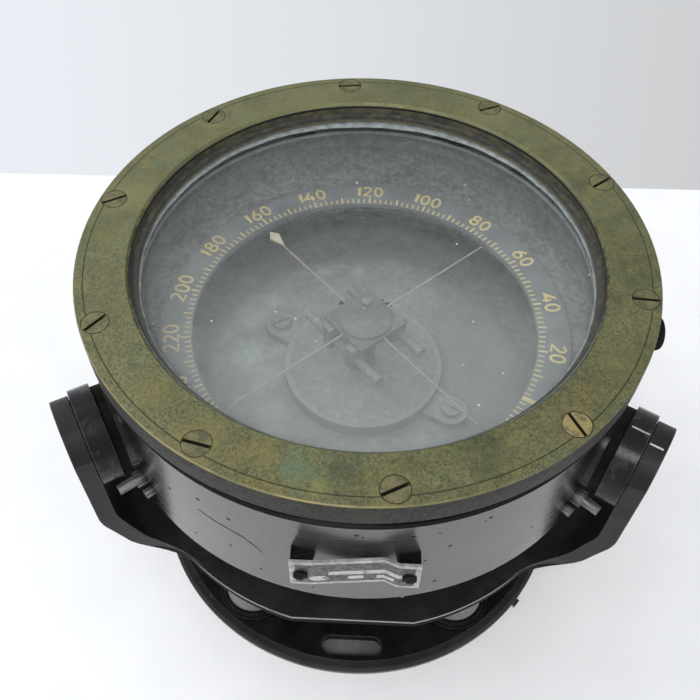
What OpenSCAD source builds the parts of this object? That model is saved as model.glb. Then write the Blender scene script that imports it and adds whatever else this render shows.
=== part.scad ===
// Aircraft compass: a liquid-damped bowl with a brass bezel, floating on three
// rubber-bushed arms of a spider bracket that stands on posts over a slotted base flange.
// Origin: centre of the base's underside, +Z up, -Y towards the nameplate.

/* [Base and spider] */
// Radius of the base flange
base_r = 70.5; // [68:0.5:74]
// Thickness of the base flange
base_t = 3.6; // [3.2:0.1:6]
// Width of the sloping shoulder round the base's rim
base_shoulder = 3; // [1:0.1:4]
// Length of a mounting slot, end to end
slot_len = 19.6; // [14:0.1:24]
// Width of a mounting slot
slot_w = 6; // [5:0.1:8]
// Distance of the slots' centres from the base's edge
slot_inset = 8; // [7:0.1:10]
// Radius of a rubber post
post_r = 9.2; // [7:0.1:9.4]
// Height of the space between the base and the spider plate
post_h = 38.7; // [32:0.1:46]
// Radius of the circle through the posts
post_pcr = 55.5; // [52:0.1:55.6]
// Height of the stepped collar at each end of a post
collar_h = 2.4; // [1.6:0.2:4]
// Radius of the spider plate
spider_r = 71.6; // [70:0.1:73]
// Distance of the spider plate's flats from its axis
spider_flat = 69.5; // [68:0.1:69.8]
// Thickness of the spider plate
spider_t = 3; // [2.5:0.1:5]
// Width of an arm's upright strap
arm_w = 22; // [16:0.5:23]
// Thickness of an arm's strap and of its eye
arm_t = 4.7; // [4:0.1:6]
// Radius of the eye at the top of an arm
eye_r = 12; // [11.6:0.1:13]
// Height of an arm's bend above the spider plate
bend_h = 20.2; // [16:0.1:26]
// Reach of an arm's knee beyond the spider plate's rim
knee_out = 8; // [5:0.1:11]

/* [Shock mounts] */
// Height of the mount cups' axes above the bottom edge of the bowl's wall
mount_h = 20; // [18:0.1:22]
// Gap between the bowl's wall and a mount cup
cup_gap = 3.3; // [2:0.1:5]
// Outer radius of a mount cup
cup_r = 13.2; // [12:0.1:14]
// Thickness of a mount cup
cup_t = 5.6; // [5:0.1:8]
// Radius of the rubber bush in a cup
bush_r = 10.4; // [9.5:0.1:10.8]
// Radius of the stud that the bush holds
stud_r = 2.5; // [2:0.1:3]

/* [Bowl] */
// Outer radius of the bezel and of the flange under it
bezel_r = 75; // [74:0.5:79]
// How far the bowl's wall is set back from the flange
wall_setback = 1.1; // [0.6:0.1:1.6]
// Thickness of the bowl's wall
wall_t = 6.9; // [6:0.1:8]
// Height of the bowl's wall
wall_h = 40.2; // [38:0.1:46]
// Height of the groove between the wall and the flange
groove_h = 5.2; // [3:0.1:6]
// Depth of that groove below the wall's surface
groove_d = 0.9; // [0.4:0.1:1]
// Thickness of the bowl's flange
flange_t = 4; // [3:0.1:6]
// Space between the spider plate and the bottom edge of the bowl's wall
bowl_gap = 25.5; // [24:0.1:34]
// Thickness of the bottom cover
cover_t = 4; // [3:0.1:5]
// Radius of the round on the bowl's lower edge
edge_round = 2; // [1:0.1:2.3]

/* [Bezel and glass] */
// Width of the bezel, from its outer edge to its opening
bezel_w = 13.7; // [12:0.1:15]
// Thickness of the bezel
bezel_t = 3.3; // [2.6:0.1:5]
// Bevel on the bezel's inner edge
bezel_bevel = 0.9; // [0.3:0.1:1.5]
// Distance of the bezel screws from the bezel's outer edge
bezel_screw_inset = 4.1; // [3.9:0.1:5]
// Number of bezel screws
bezel_screw_n = 10; // [6:1:12]
// Radius of a bezel screw's head
bezel_head_r = 3.3; // [2.6:0.1:3.6]
// Thickness of the cover glass
glass_t = 4; // [3:0.1:5]
// Thickness of the gasket above the glass
upper_gasket_t = 2; // [1:0.1:2.5]
// Thickness of the gasket below the glass
lower_gasket_t = 1.2; // [0.8:0.1:2]

/* [Dial and needle] */
// Depth of the dial ring's face below the top of the bowl's flange
dial_depth = 26.2; // [22:0.1:28]
// Gap between the needle's tip and the dial ring
needle_gap = 3.4; // [1.5:0.1:5]
// Width of the dial ring
dial_w = 9.2; // [8:0.1:10]
// Thickness of the dial ring
dial_t = 1.5; // [1.2:0.1:3]
// Direction that the needle's north tip points in at rest
needle_az = 132; // [0:1:359]
// Side of the square magnet plate
magnet_plate_w = 16.7; // [15:0.1:20]
// Length of a bar magnet
magnet_len = 32; // [24:0.5:40]
// Radius of a bar magnet
magnet_r = 1.5; // [1:0.1:2]
// Distance of a bar magnet from the needle's axis
magnet_offset = 8; // [7.4:0.1:9]
// Reach of the needle's north and tail filaments
needle_reach = 46; // [42:0.5:47]
// How far the cross filaments reach past the needle
cross_past = 1.5; // [0:0.1:1.5]
// Radius of a filament
filament_r = 0.3; // [0.2:0.05:0.4]
// Radius of the round foot that carries the pivot
pivot_base_r = 24; // [18:0.5:25]
// Height of that foot
pivot_base_h = 4.5; // [3:0.1:6]

/* [Fittings] */
// Width of the nameplate
plate_w = 30; // [26:0.5:34]
// Height of the nameplate
plate_h = 11.6; // [8:0.1:12]
// Distance of the nameplate's back from the bowl's wall, at its left end
plate_gap = 3.2; // [2:0.1:4]
// Distance of the nameplate's back from the bowl's wall, at its bend
plate_bend_gap = 1.7; // [1.4:0.1:4]
// Distance of the nameplate's back from the bowl's wall, at its right end
plate_end_gap = 3; // [2:0.1:4]
// Radius of the filler plug's head
plug_r = 5; // [4:0.1:7]
// Length of the filler plug's head
plug_len = 8.8; // [5:0.1:11]
// Radius of an anchor pin
pin_r = 1.4; // [1:0.1:1.8]
// How far an anchor pin stands out of the wall
pin_len = 7.1; // [4:0.1:8]

/* [Hidden] */
$fn = 96;

// Clearances: a screw or pin in its hole, and a piece that drops into a seat
fit_gap = 0.05;
seat_gap = 0.3;
// Overlap that carries a cut past the face it opens
past = 1;
// Turn of each screw's slot from the last one's
slot_turn = 50;

// Heights of the stack, from the base up
spider_z = base_t + post_h;
spider_top = spider_z + spider_t;
bowl_z = spider_top + bowl_gap;
groove_z = bowl_z + wall_h;
flange_z = groove_z + groove_h;
flange_top = flange_z + flange_t;
bezel_top = flange_top + bezel_t;
mount_z = bowl_z + mount_h;

// Three arms, with the mounting slots halfway between them and two posts beside each slot
arm_right = -30;
arm_rear = 90;
arm_left = 210;
ARMS = [arm_right, arm_rear, arm_left];
SLOTS = [for (a = ARMS) a - 60];
post_spread = 37;
POSTS = [for (s = SLOTS, d = [-post_spread, post_spread]) s + d];
slot_pcr = base_r - slot_inset;
nub_az = -39;
nub_w = 2.5;
nub_out = 1.1;

// Posts and their screws
post_screw_r = 2;
post_head_r = 3.6;
post_screw_grip = collar_h - 0.6;
collar_step = 1.2;

// Spider arms
wall_r = bezel_r - wall_setback;
cup_in = wall_r + cup_gap;
cup_out = cup_in + cup_t;
eye_in = cup_out + seat_gap;
strap_out = eye_in + arm_t;
flare_az = 30;
flare_round = 20;
flare_out = 3;
root_r = (spider_r - past) * cos(flare_az);
bend_out_r = 22;
bend_in_r = 20;
knee_round = 14;
eye_head_r = 4.4;

// Shock mounts
cup_back = 1.2;
boss_r = 12.4;
boss_out = 0.7;
neck_r = boss_r - seat_gap;
bolt_r = 3;
bolt_head_r = 5;
bolt_head_h = 1.2;
bolt_depth = wall_t - 2;
bush_in = cup_in + cup_back + bolt_head_h + fit_gap;
bush_t = cup_out - fit_gap - bush_in;

// Bowl
chamber_r = wall_r - wall_t;
groove_r = wall_r - groove_d;
opening_r = bezel_r - bezel_w;
glass_r = opening_r + 3.2;
gasket_show = 1.4;
glass_top = flange_top - upper_gasket_t;
glass_z = glass_top - glass_t;
seat_z = glass_z - lower_gasket_t;
ledge_r = opening_r - 0.8;
ledge_t = 4;
cover_r = wall_r - edge_round - 0.4;
bottom_gasket_t = 0.8;
floor_z = bowl_z - bottom_gasket_t;
cover_z = floor_z - cover_t;
bottom_pcr = (chamber_r + cover_r) / 2;
bottom_screw_r = 1.25;
bottom_head_r = 2;
bottom_head_h = 1.5;
bottom_screw_n = 9;
bottom_grip = 5;
vent_r = 1.5;
vent_pcr = pivot_base_r + 4;

// Bezel screws
bezel_pcr = bezel_r - bezel_screw_inset;
bezel_shank_r = 1.5;
bezel_grip = flange_t + 3;
first_screw_az = 96.2;
SLOT_TURNS = [8, 24, 38, -4, -62, 28, -14, 52, 30, 66, 15, 80];
slot_cut = 0.9;
bezel_break = 0.25;

// Corrector box and diaphragm under the bottom cover
box_r = 40;
box_h = 13;
box_head_r = 3;
box_head_gap = 0.5;
box_pcr = box_r + box_head_gap + box_head_r;
box_flange_r = box_pcr + box_head_r + box_head_gap;
box_flange_t = 2.5;
box_wall = 7;
box_cavity_r = box_r - box_wall;
box_cavity_h = 5;
box_screw_r = 1.5;
box_head_h = 1.6;
diaphragm_grip = 3;
diaphragm_r = box_cavity_r + diaphragm_grip;
diaphragm_t = 0.5;
wave_h = 0.8;
wave_from = 6;
wave_n = 4;
corrector_r = 1.6;
corrector_len = 40;
corrector_offset = 16;

// Dial ring on its shelf
dial_ri = needle_reach + needle_gap;
dial_ro = dial_ri + dial_w;
cross_reach = needle_reach + cross_past;
dial_top = flange_top - dial_depth;
dial_z = dial_top - dial_t;
shelf_in = 2.6;
shelf_r = dial_ri + shelf_in;
shelf_t = 4;
rivet_pcr = (shelf_r + dial_ro) / 2;
rivet_r = 1;
rivet_head_r = 2;
rivet_head_h = 0.8;
rivet_depth = dial_t - 0.8;

// Pivot and needle
ear_az = arm_right;
ear_out = 6.5;
ear_pcr = pivot_base_r + ear_out;
ear_r = 5;
ear_t = 2.5;
ear_screw_r = 1.4;
ear_head_r = 2.8;
pivot_post_r = 3.5;
pivot_neck_r = 2;
pivot_pin_r = 0.8;
pivot_point_r = 0.15;
pivot_gap = 0.1;
plate_t = 1.2;
plate_z = dial_top - 0.8;
plate_top = plate_z + plate_t;
cap_r = 0.455 * magnet_plate_w;
cap_t = 0.8;
jewel_r = 2.6;
jewel_h = 4.3;
jewel_bore_r = 1.3;
jewel_crown = 1;
jewel_z = plate_z - jewel_h;
pivot_tip = plate_z - jewel_crown - pivot_gap;
post_top = jewel_z - 0.5;
magnet_drop = 5.2;
magnet_z = plate_z - magnet_drop;
clip_w = 3;
clip_pos = 5;
filament_z = plate_z + plate_t / 2;
filament_root = 2.4;
tip_len = 7.5;
tip_w = 3.4;
tip_t = 0.7;
weight_r = 1.4;
weight_h = 0.9;

// Nameplate, plug and pins
plate_metal = 0.8;
plate_up = 4.7;
plate_mid_z = mount_z + plate_up;
lug_w = 5;
lug_h = 6;
lug_root = wall_r - wall_t / 2;
plate_grip = 3;
plate_screw_r = 0.9;
plate_screw_head_r = 1.7;
plate_screw_x = plate_w / 2 - lug_w / 2;
plug_az = 0;
plug_up = 2.7;
plug_z = mount_z + plug_up;
plug_shank_r = 3;
plug_round = 1.5;
washer_r = plug_r + 1;
washer_t = 1.4;
pin_az = 9;
pin_drop = 9.8;
pin_z = mount_z - pin_drop;
pin_collar_r = pin_r + 0.8;
pin_collar = 2.4;
pin_depth = wall_t - 2.5;
anchor_screw_az = 13;
anchor_screw_r = 0.8;
anchor_screw_out = 2.2;
anchor_head_r = 1.3;
PIN_SIDES = [[arm_right, -1], [arm_left, 1]];

// Colours
black_paint = [0.09, 0.09, 0.10];
grey_rubber = [0.62, 0.63, 0.64];
black_rubber = [0.05, 0.05, 0.05];
brass_old = [0.43, 0.41, 0.25];
brass_clean = [0.62, 0.53, 0.31];
steel = [0.55, 0.55, 0.54];
glass_tint = [0.70, 0.78, 0.80, 0.35];

// Points of an arc that rounds corner b of the path a, b, c
function unit(v) = v / norm(v);
function corner(a, b, c, r, steps = 10) =
    let (u = unit(a - b), w = unit(c - b))
    let (half = acos(u * w) / 2)
    let (mid = b + unit(u + w) * r / sin(half))
    let (p = b + u * r / tan(half), q = b + w * r / tan(half))
    let (p_az = atan2(p[1] - mid[1], p[0] - mid[0]))
    let (q_az = atan2(q[1] - mid[1], q[0] - mid[0]))
    let (turn = (q_az - p_az + 540) % 360 - 180)
    [for (i = [0:steps]) mid + r * [cos(p_az + turn * i / steps), sin(p_az + turn * i / steps)]];

// Turn the child's +Z to point outwards at azimuth az, height z and radius r
module radial(az, r, z) {
    rotate([0, 0, az]) translate([r, 0, z]) rotate([0, 90, 0]) children();
}

// Place the child at radius r and azimuth az
module polar(az, r, z = 0) {
    rotate([0, 0, az]) translate([r, 0, z]) children();
}

module tube(r_out, r_in, h) {
    difference() {
        cylinder(r = r_out, h = h);
        translate([0, 0, -past]) cylinder(r = r_in, h = h + 2 * past);
    }
}

// Countersunk screw: flat head at z = 0, shank down to -length
module sunk_screw(head_r, shank_r, length, turn = 0) {
    difference() {
        union() {
            translate([0, 0, shank_r - head_r]) cylinder(r1 = shank_r, r2 = head_r, h = head_r - shank_r);
            translate([0, 0, -length]) cylinder(r = shank_r, h = length);
        }
        rotate([0, 0, turn]) translate([-head_r - past, -slot_cut / 2, -slot_cut])
            cube([2 * (head_r + past), slot_cut, slot_cut + past]);
    }
}

// Hole that takes a countersunk screw
module sunk_hole(head_r, shank_r, length) {
    hole_r = shank_r + fit_gap;
    mouth_r = head_r + fit_gap;
    translate([0, 0, hole_r - mouth_r]) cylinder(r1 = hole_r, r2 = mouth_r, h = mouth_r - hole_r);
    translate([0, 0, -length - fit_gap]) cylinder(r = hole_r, h = length + 2 * fit_gap);
    cylinder(r = mouth_r, h = past);
}

// Cheese-head screw: head stands on z = 0, shank down to -length
module cheese_screw(head_r, head_h, shank_r, length, turn = 0) {
    difference() {
        cylinder(r = head_r, h = head_h);
        rotate([0, 0, turn]) translate([-head_r - past, -slot_cut / 2, head_h / 2])
            cube([2 * (head_r + past), slot_cut, head_h]);
    }
    translate([0, 0, -length]) cylinder(r = shank_r, h = length);
}

// Straight hole below z = 0 for a screw's shank
module shank_hole(shank_r, length) {
    translate([0, 0, -length - fit_gap]) cylinder(r = shank_r + fit_gap, h = length + fit_gap + past);
}

// Outline of a slot that lies across the child's X axis
module slot_cutter(len, w, h) {
    for (side = [-1, 1]) translate([0, side * (len - w) / 2, 0]) cylinder(d = w, h = h);
    translate([-w / 2, -(len - w) / 2, 0]) cube([w, len - w, h]);
}

// Base

module base_flange() {
    color(black_paint) difference() {
        union() {
            rotate_extrude() polygon([
                [0, 0],
                [base_r, 0],
                [base_r, base_t / 2],
                [base_r - base_shoulder, base_t],
                [0, base_t]
            ]);
            polar(nub_az, base_r - past) translate([0, -nub_w / 2, 0])
                cube([past + nub_out, nub_w, base_t / 2]);
        }
        for (a = SLOTS) polar(a, slot_pcr, -past) slot_cutter(slot_len, slot_w, base_t + 2 * past);
        for (a = POSTS) polar(a, post_pcr) mirror([0, 0, 1])
            sunk_hole(post_head_r, post_screw_r, base_t + past);
    }
}

// Stepped collar at the end of a post, wide side at z = 0
module collar() {
    difference() {
        union() {
            cylinder(r = post_r + 2 * collar_step, h = collar_h / 2);
            cylinder(r = post_r + collar_step, h = collar_h);
        }
        mirror([0, 0, 1]) shank_hole(post_screw_r, post_screw_grip);
    }
}

module post_feet() {
    color(black_paint) for (a = POSTS) polar(a, post_pcr, base_t) collar();
}

module post_heads() {
    color(black_paint) for (a = POSTS) polar(a, post_pcr, spider_z) mirror([0, 0, 1]) collar();
}

module rubber_posts() {
    color(grey_rubber) for (a = POSTS) polar(a, post_pcr, base_t + collar_h)
        cylinder(r = post_r, h = post_h - 2 * collar_h);
}

module base_screws() {
    color(steel) for (a = POSTS) polar(a, post_pcr) mirror([0, 0, 1])
        sunk_screw(post_head_r, post_screw_r, base_t + post_screw_grip, a);
}

module spider_screws() {
    color(steel) for (a = POSTS) polar(a, post_pcr, spider_top)
        cheese_screw(post_head_r, post_head_r / 2, post_screw_r, spider_t + post_screw_grip, 2 * a);
}

// Spider

// An arm from the side: flat root, knee, steep rise and upright strap
module arm_side() {
    eye = [strap_out, mount_z];
    bend = [strap_out, spider_top + bend_h];
    knee = [spider_r + knee_out, spider_z];
    root = [root_r, spider_z];
    rise = unit(knee - bend);
    inner = bend + arm_t * [rise[1], -rise[0]];
    inner_bend = inner + rise * (eye_in - inner[0]) / rise[0];
    inner_knee = inner + rise * (spider_top - inner[1]) / rise[1];
    inner_root = [root_r, spider_top];
    inner_eye = [eye_in, mount_z];
    polygon(concat(
        [eye],
        corner(eye, bend, knee, bend_out_r),
        corner(bend, knee, root, knee_round),
        [root, inner_root],
        corner(inner_root, inner_knee, inner_bend, knee_round),
        corner(inner_knee, inner_bend, inner_eye, bend_in_r),
        [inner_eye]
    ));
}

// An arm from above: straight strap that flares into the plate's rim
module arm_plan() {
    side = arm_w / 2;
    end = [strap_out + past, side];
    foot = [sqrt(spider_r * spider_r - side * side) + flare_out, side];
    rim = [root_r, root_r * tan(flare_az)];
    half = concat([end], corner(end, foot, rim, flare_round), [rim]);
    polygon(concat(half, [for (i = [len(half) - 1:-1:0]) [half[i][0], -half[i][1]]]));
}

module arm() {
    intersection() {
        union() {
            rotate([90, 0, 0]) linear_extrude(2 * spider_r, center = true) arm_side();
            radial(0, eye_in, mount_z) cylinder(r = eye_r, h = arm_t);
        }
        linear_extrude(bezel_top) arm_plan();
    }
}

module spider() {
    color(black_paint) difference() {
        union() {
            translate([0, 0, spider_z]) linear_extrude(spider_t) intersection() {
                circle(r = spider_r);
                rotate([0, 0, arm_right]) circle(r = 2 * spider_flat, $fn = 3);
            }
            for (a = ARMS) rotate([0, 0, a]) arm();
        }
        for (a = POSTS) polar(a, post_pcr, spider_top) shank_hole(post_screw_r, spider_t + past);
        for (a = ARMS) radial(a, strap_out, mount_z) sunk_hole(eye_head_r, stud_r, arm_t + past);
    }
}

// Shock mounts

// Stud through an arm's eye, into the bush
module eye_stud(az) {
    color(steel) radial(az, strap_out, mount_z)
        sunk_screw(eye_head_r, stud_r, strap_out - bush_in - seat_gap, az);
}

// Cup on the bowl, open towards the arm
module mount_cup(az) {
    color(black_paint) radial(az, cup_in, mount_z) difference() {
        cylinder(r = cup_r, h = cup_t);
        translate([0, 0, cup_back]) cylinder(r = bush_r + fit_gap, h = cup_t);
        translate([0, 0, -past]) cylinder(r = bolt_r + fit_gap, h = cup_t);
    }
}

module rubber_bush(az) {
    color(black_rubber) radial(az, bush_in, mount_z) tube(bush_r, stud_r + fit_gap, bush_t);
}

module eye_stud_right() { eye_stud(arm_right); }
module eye_stud_rear() { eye_stud(arm_rear); }
module eye_stud_left() { eye_stud(arm_left); }
module mount_cup_right() { mount_cup(arm_right); }
module mount_cup_rear() { mount_cup(arm_rear); }
module mount_cup_left() { mount_cup(arm_left); }
module rubber_bush_right() { rubber_bush(arm_right); }
module rubber_bush_rear() { rubber_bush(arm_rear); }
module rubber_bush_left() { rubber_bush(arm_left); }

module mount_necks() {
    color(black_paint) for (a = ARMS) radial(a, wall_r + boss_out, mount_z)
        tube(neck_r, bolt_r + fit_gap, cup_gap - boss_out);
}

module mount_bolts() {
    color(steel) for (a = ARMS) radial(a, cup_in + cup_back, mount_z)
        cheese_screw(bolt_head_r, bolt_head_h, bolt_r, cup_back + cup_gap - boss_out + bolt_depth, a);
}

// Bowl

module bowl_shell() {
    low = edge_round;
    color(black_paint) difference() {
        union() {
            rotate_extrude() polygon(concat(
                [[chamber_r, bowl_z]],
                corner([chamber_r, bowl_z], [wall_r, bowl_z], [wall_r, groove_z], low),
                [
                    [wall_r, groove_z],
                    [groove_r, groove_z],
                    [groove_r, flange_z],
                    [bezel_r, flange_z],
                    [bezel_r, flange_top],
                    [glass_r + seat_gap, flange_top],
                    [glass_r + seat_gap, seat_z],
                    [ledge_r, seat_z],
                    [ledge_r, seat_z - ledge_t],
                    [chamber_r, seat_z - ledge_t],
                    [chamber_r, dial_z],
                    [shelf_r, dial_z],
                    [shelf_r, dial_z - shelf_t],
                    [chamber_r, dial_z - shelf_t]
                ]
            ));
            for (a = ARMS) radial(a, wall_r - bolt_depth, mount_z)
                cylinder(r = boss_r, h = bolt_depth + boss_out);
            radial(plug_az, wall_r - bolt_depth, plug_z) cylinder(r = washer_r, h = bolt_depth + boss_out);
        }
        for (i = [0:bezel_screw_n - 1]) polar(bezel_screw_az(i), bezel_pcr, flange_top)
            shank_hole(bezel_shank_r, bezel_grip);
        for (a = ARMS) radial(a, wall_r + boss_out, mount_z) shank_hole(bolt_r, bolt_depth);
        for (i = [0:bottom_screw_n - 1]) polar(i * 360 / bottom_screw_n, bottom_pcr, bowl_z)
            mirror([0, 0, 1]) shank_hole(bottom_screw_r, bottom_grip);
        for (i = [0:3]) polar(rivet_az(i), rivet_pcr, dial_z) shank_hole(rivet_r, shelf_t + past);
        for (p = PIN_SIDES) radial(p[0] + p[1] * pin_az, wall_r, pin_z) shank_hole(pin_r, pin_depth);
        for (p = PIN_SIDES) radial(p[0] + p[1] * anchor_screw_az, wall_r, pin_z)
            shank_hole(anchor_screw_r, pin_depth);
        for (s = [-1, 1]) translate([s * plate_screw_x, 0, plate_mid_z]) rotate([90, 0, 0])
            translate([0, 0, wall_r]) shank_hole(plate_screw_r, pin_depth);
        radial(plug_az, wall_r + boss_out, plug_z) shank_hole(plug_shank_r, wall_t + boss_out + past);
    }
}

function bezel_screw_az(i) = first_screw_az - i * 360 / bezel_screw_n;
function rivet_az(i) = 45 + i * 90;

module bottom_gasket() {
    color(black_rubber) difference() {
        translate([0, 0, floor_z]) tube(cover_r, chamber_r, bottom_gasket_t);
        for (i = [0:bottom_screw_n - 1]) polar(i * 360 / bottom_screw_n, bottom_pcr, bowl_z)
            shank_hole(bottom_screw_r, bottom_gasket_t + past);
    }
}

module bottom_cover() {
    color(black_paint) difference() {
        translate([0, 0, cover_z]) cylinder(r = cover_r, h = cover_t);
        for (i = [0:bottom_screw_n - 1]) polar(i * 360 / bottom_screw_n, bottom_pcr, floor_z)
            shank_hole(bottom_screw_r, cover_t + past);
        for (i = [0:5]) polar(i * 60, box_pcr, cover_z) mirror([0, 0, 1])
            shank_hole(box_screw_r, cover_t - 1);
        for (a = [105, 135]) polar(ear_az + a, vent_pcr, floor_z) shank_hole(vent_r, cover_t + past);
        for (a = [0, 180]) polar(ear_az + a, ear_pcr, floor_z) shank_hole(ear_screw_r, cover_t - 1);
    }
}

module bottom_screws() {
    length = cover_t + bottom_gasket_t + bottom_grip;
    color(steel) for (i = [0:bottom_screw_n - 1]) polar(i * 360 / bottom_screw_n, bottom_pcr, cover_z)
        mirror([0, 0, 1]) cheese_screw(bottom_head_r, bottom_head_h, bottom_screw_r, length, slot_turn * i);
}

// Corrector box with its magnets, and the diaphragm that lets the liquid expand

module corrector_bores(r, len) {
    for (s = [-1, 1]) {
        translate([s * corrector_offset, 0, cover_z - box_h + 2 * corrector_r]) rotate([90, 0, 0])
            cylinder(r = r, h = len, center = true);
        translate([0, s * corrector_offset, cover_z - box_h + 5 * corrector_r]) rotate([0, 90, 0])
            cylinder(r = r, h = len, center = true);
    }
}

module corrector_box() {
    color(black_paint) difference() {
        union() {
            translate([0, 0, cover_z - box_h]) cylinder(r = box_r, h = box_h);
            translate([0, 0, cover_z - box_flange_t]) cylinder(r = box_flange_r, h = box_flange_t);
        }
        translate([0, 0, cover_z - box_cavity_h]) cylinder(r = box_cavity_r, h = box_cavity_h + past);
        translate([0, 0, cover_z - diaphragm_t]) cylinder(r = diaphragm_r + fit_gap, h = diaphragm_t + past);
        corrector_bores(corrector_r + fit_gap, 2 * box_r + 2 * past);
        for (i = [0:5]) polar(i * 60, box_pcr, cover_z) shank_hole(box_screw_r, box_flange_t + past);
    }
}

module corrector_screws() {
    color(steel) for (i = [0:5]) polar(i * 60, box_pcr, cover_z - box_flange_t) mirror([0, 0, 1])
        cheese_screw(box_head_r, box_head_h, box_screw_r, box_flange_t + cover_t - 1, slot_turn * i);
}

module corrector_magnets() {
    color(steel) corrector_bores(corrector_r, corrector_len);
}

function wave(r) =
    let (span = (box_cavity_r - wave_from) / wave_n)
    r < wave_from || r > box_cavity_r - 1 ? 0 : wave_h * (cos(360 * (r - wave_from) / span) - 1);

module expansion_diaphragm() {
    low = cover_z - diaphragm_t;
    radii = [for (i = [0:36]) i * box_cavity_r / 36];
    color(brass_clean) rotate_extrude() polygon(concat(
        [for (r = radii) [r, low + wave(r)]],
        [[diaphragm_r, low], [diaphragm_r, cover_z]],
        [for (i = [36:-1:0]) [radii[i], cover_z + wave(radii[i])]]
    ));
}

// Bezel and glass

module bezel_ring() {
    color(brass_old) difference() {
        rotate_extrude() polygon([
            [opening_r, flange_top],
            [bezel_r, flange_top],
            [bezel_r, bezel_top - bezel_break],
            [bezel_r - bezel_break, bezel_top],
            [opening_r + bezel_bevel, bezel_top],
            [opening_r, bezel_top - bezel_bevel]
        ]);
        for (i = [0:bezel_screw_n - 1]) polar(bezel_screw_az(i), bezel_pcr, bezel_top)
            sunk_hole(bezel_head_r, bezel_shank_r, bezel_t + past);
    }
}

module bezel_screws() {
    color(brass_clean) for (i = [0:bezel_screw_n - 1]) polar(bezel_screw_az(i), bezel_pcr, bezel_top)
        sunk_screw(bezel_head_r, bezel_shank_r, bezel_t + bezel_grip, SLOT_TURNS[i] - bezel_screw_az(i));
}

module upper_gasket() {
    color(black_rubber) translate([0, 0, glass_top]) tube(glass_r, opening_r - gasket_show, upper_gasket_t);
}

module cover_glass() {
    color(glass_tint) translate([0, 0, glass_z]) cylinder(r = glass_r, h = glass_t);
}

module lower_gasket() {
    color(black_rubber) translate([0, 0, seat_z]) tube(glass_r, ledge_r, lower_gasket_t);
}

// Dial

module dial_ring() {
    color([0.39, 0.42, 0.46]) difference() {
        translate([0, 0, dial_z]) tube(dial_ro, dial_ri, dial_t);
        for (i = [0:3]) polar(rivet_az(i), rivet_pcr, dial_z) mirror([0, 0, 1])
            shank_hole(rivet_r, rivet_depth);
    }
}

module dial_rivets() {
    color(brass_clean) for (i = [0:3]) polar(rivet_az(i), rivet_pcr, dial_z - shelf_t) {
        translate([0, 0, -rivet_head_h]) cylinder(r = rivet_head_r, h = rivet_head_h);
        cylinder(r = rivet_r, h = shelf_t + rivet_depth);
    }
}

// Fittings on the wall

// Cut the child back to the wall's curve
module on_wall() {
    difference() {
        children();
        cylinder(r = wall_r, h = bezel_top);
    }
}

module anchor_pins() {
    color(steel) for (p = PIN_SIDES) {
        on_wall() radial(p[0] + p[1] * pin_az, wall_r - past, pin_z)
            cylinder(r = pin_collar_r, h = pin_collar + past);
        radial(p[0] + p[1] * pin_az, wall_r - pin_depth, pin_z) cylinder(r = pin_r, h = pin_depth + pin_len);
    }
}

module anchor_screws() {
    color(steel) for (p = PIN_SIDES) {
        on_wall() radial(p[0] + p[1] * anchor_screw_az, wall_r - past, pin_z)
            cylinder(r = anchor_head_r, h = past + anchor_screw_out);
        radial(p[0] + p[1] * anchor_screw_az, wall_r - pin_depth, pin_z)
            cylinder(r = anchor_screw_r, h = pin_depth + anchor_screw_out);
    }
}

// Distance of the nameplate's back from the bowl's axis, at the lug on each side
function plate_back(side) = wall_r + (side > 0 ? plate_end_gap : plate_gap);

module nameplate_lugs() {
    color(black_paint) difference() {
        on_wall() for (s = [-1, 1])
            translate([s * plate_screw_x - lug_w / 2, -plate_back(s), plate_mid_z - lug_h / 2])
            cube([lug_w, plate_back(s) - lug_root, lug_h]);
        for (s = [-1, 1]) translate([s * plate_screw_x, -plate_back(s), plate_mid_z]) rotate([90, 0, 0])
            shank_hole(plate_screw_r, plate_back(s) - lug_root);
    }
}

// Plate seen from above: flat ends on the lugs, a slanted middle and a kink near its right end
module nameplate() {
    seat = plate_w / 2 - lug_w;
    bend = seat - 2 * lug_w / 3;
    back = [
        [-plate_w / 2, -plate_back(-1)],
        [-seat, -plate_back(-1)],
        [bend, -wall_r - plate_bend_gap],
        [seat, -plate_back(1)],
        [plate_w / 2, -plate_back(1)]
    ];
    color([0.72, 0.72, 0.70]) difference() {
        translate([0, 0, plate_mid_z - plate_h / 2]) linear_extrude(plate_h)
            polygon(concat(back, [for (i = [4:-1:0]) back[i] - [0, plate_metal]]));
        for (s = [-1, 1]) translate([s * plate_screw_x, -plate_back(s) - plate_metal, plate_mid_z])
            rotate([90, 0, 0]) shank_hole(plate_screw_r, plate_metal + past);
    }
}

module nameplate_screws() {
    color(black_paint) for (s = [-1, 1])
        translate([s * plate_screw_x, -plate_back(s) - plate_metal, plate_mid_z]) rotate([90, 0, 0])
        cheese_screw(
            plate_screw_head_r,
            plate_metal,
            plate_screw_r,
            plate_metal + plate_back(s) - wall_r + plate_grip,
            slot_turn * s
        );
}

module filler_plug() {
    color(black_paint) radial(plug_az, wall_r + boss_out + washer_t, plug_z) {
        rotate_extrude() polygon(concat(
            [[0, 0], [plug_r, 0]],
            corner([plug_r, 0], [plug_r, plug_len], [0, plug_len], plug_round),
            [[0, plug_len]]
        ));
        translate([0, 0, -washer_t - boss_out - wall_t])
            cylinder(r = plug_shank_r, h = washer_t + boss_out + wall_t);
    }
}

module filler_washer() {
    color(black_rubber) radial(plug_az, wall_r + boss_out, plug_z)
        tube(washer_r, plug_shank_r + fit_gap, washer_t);
}

// Pivot

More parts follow.
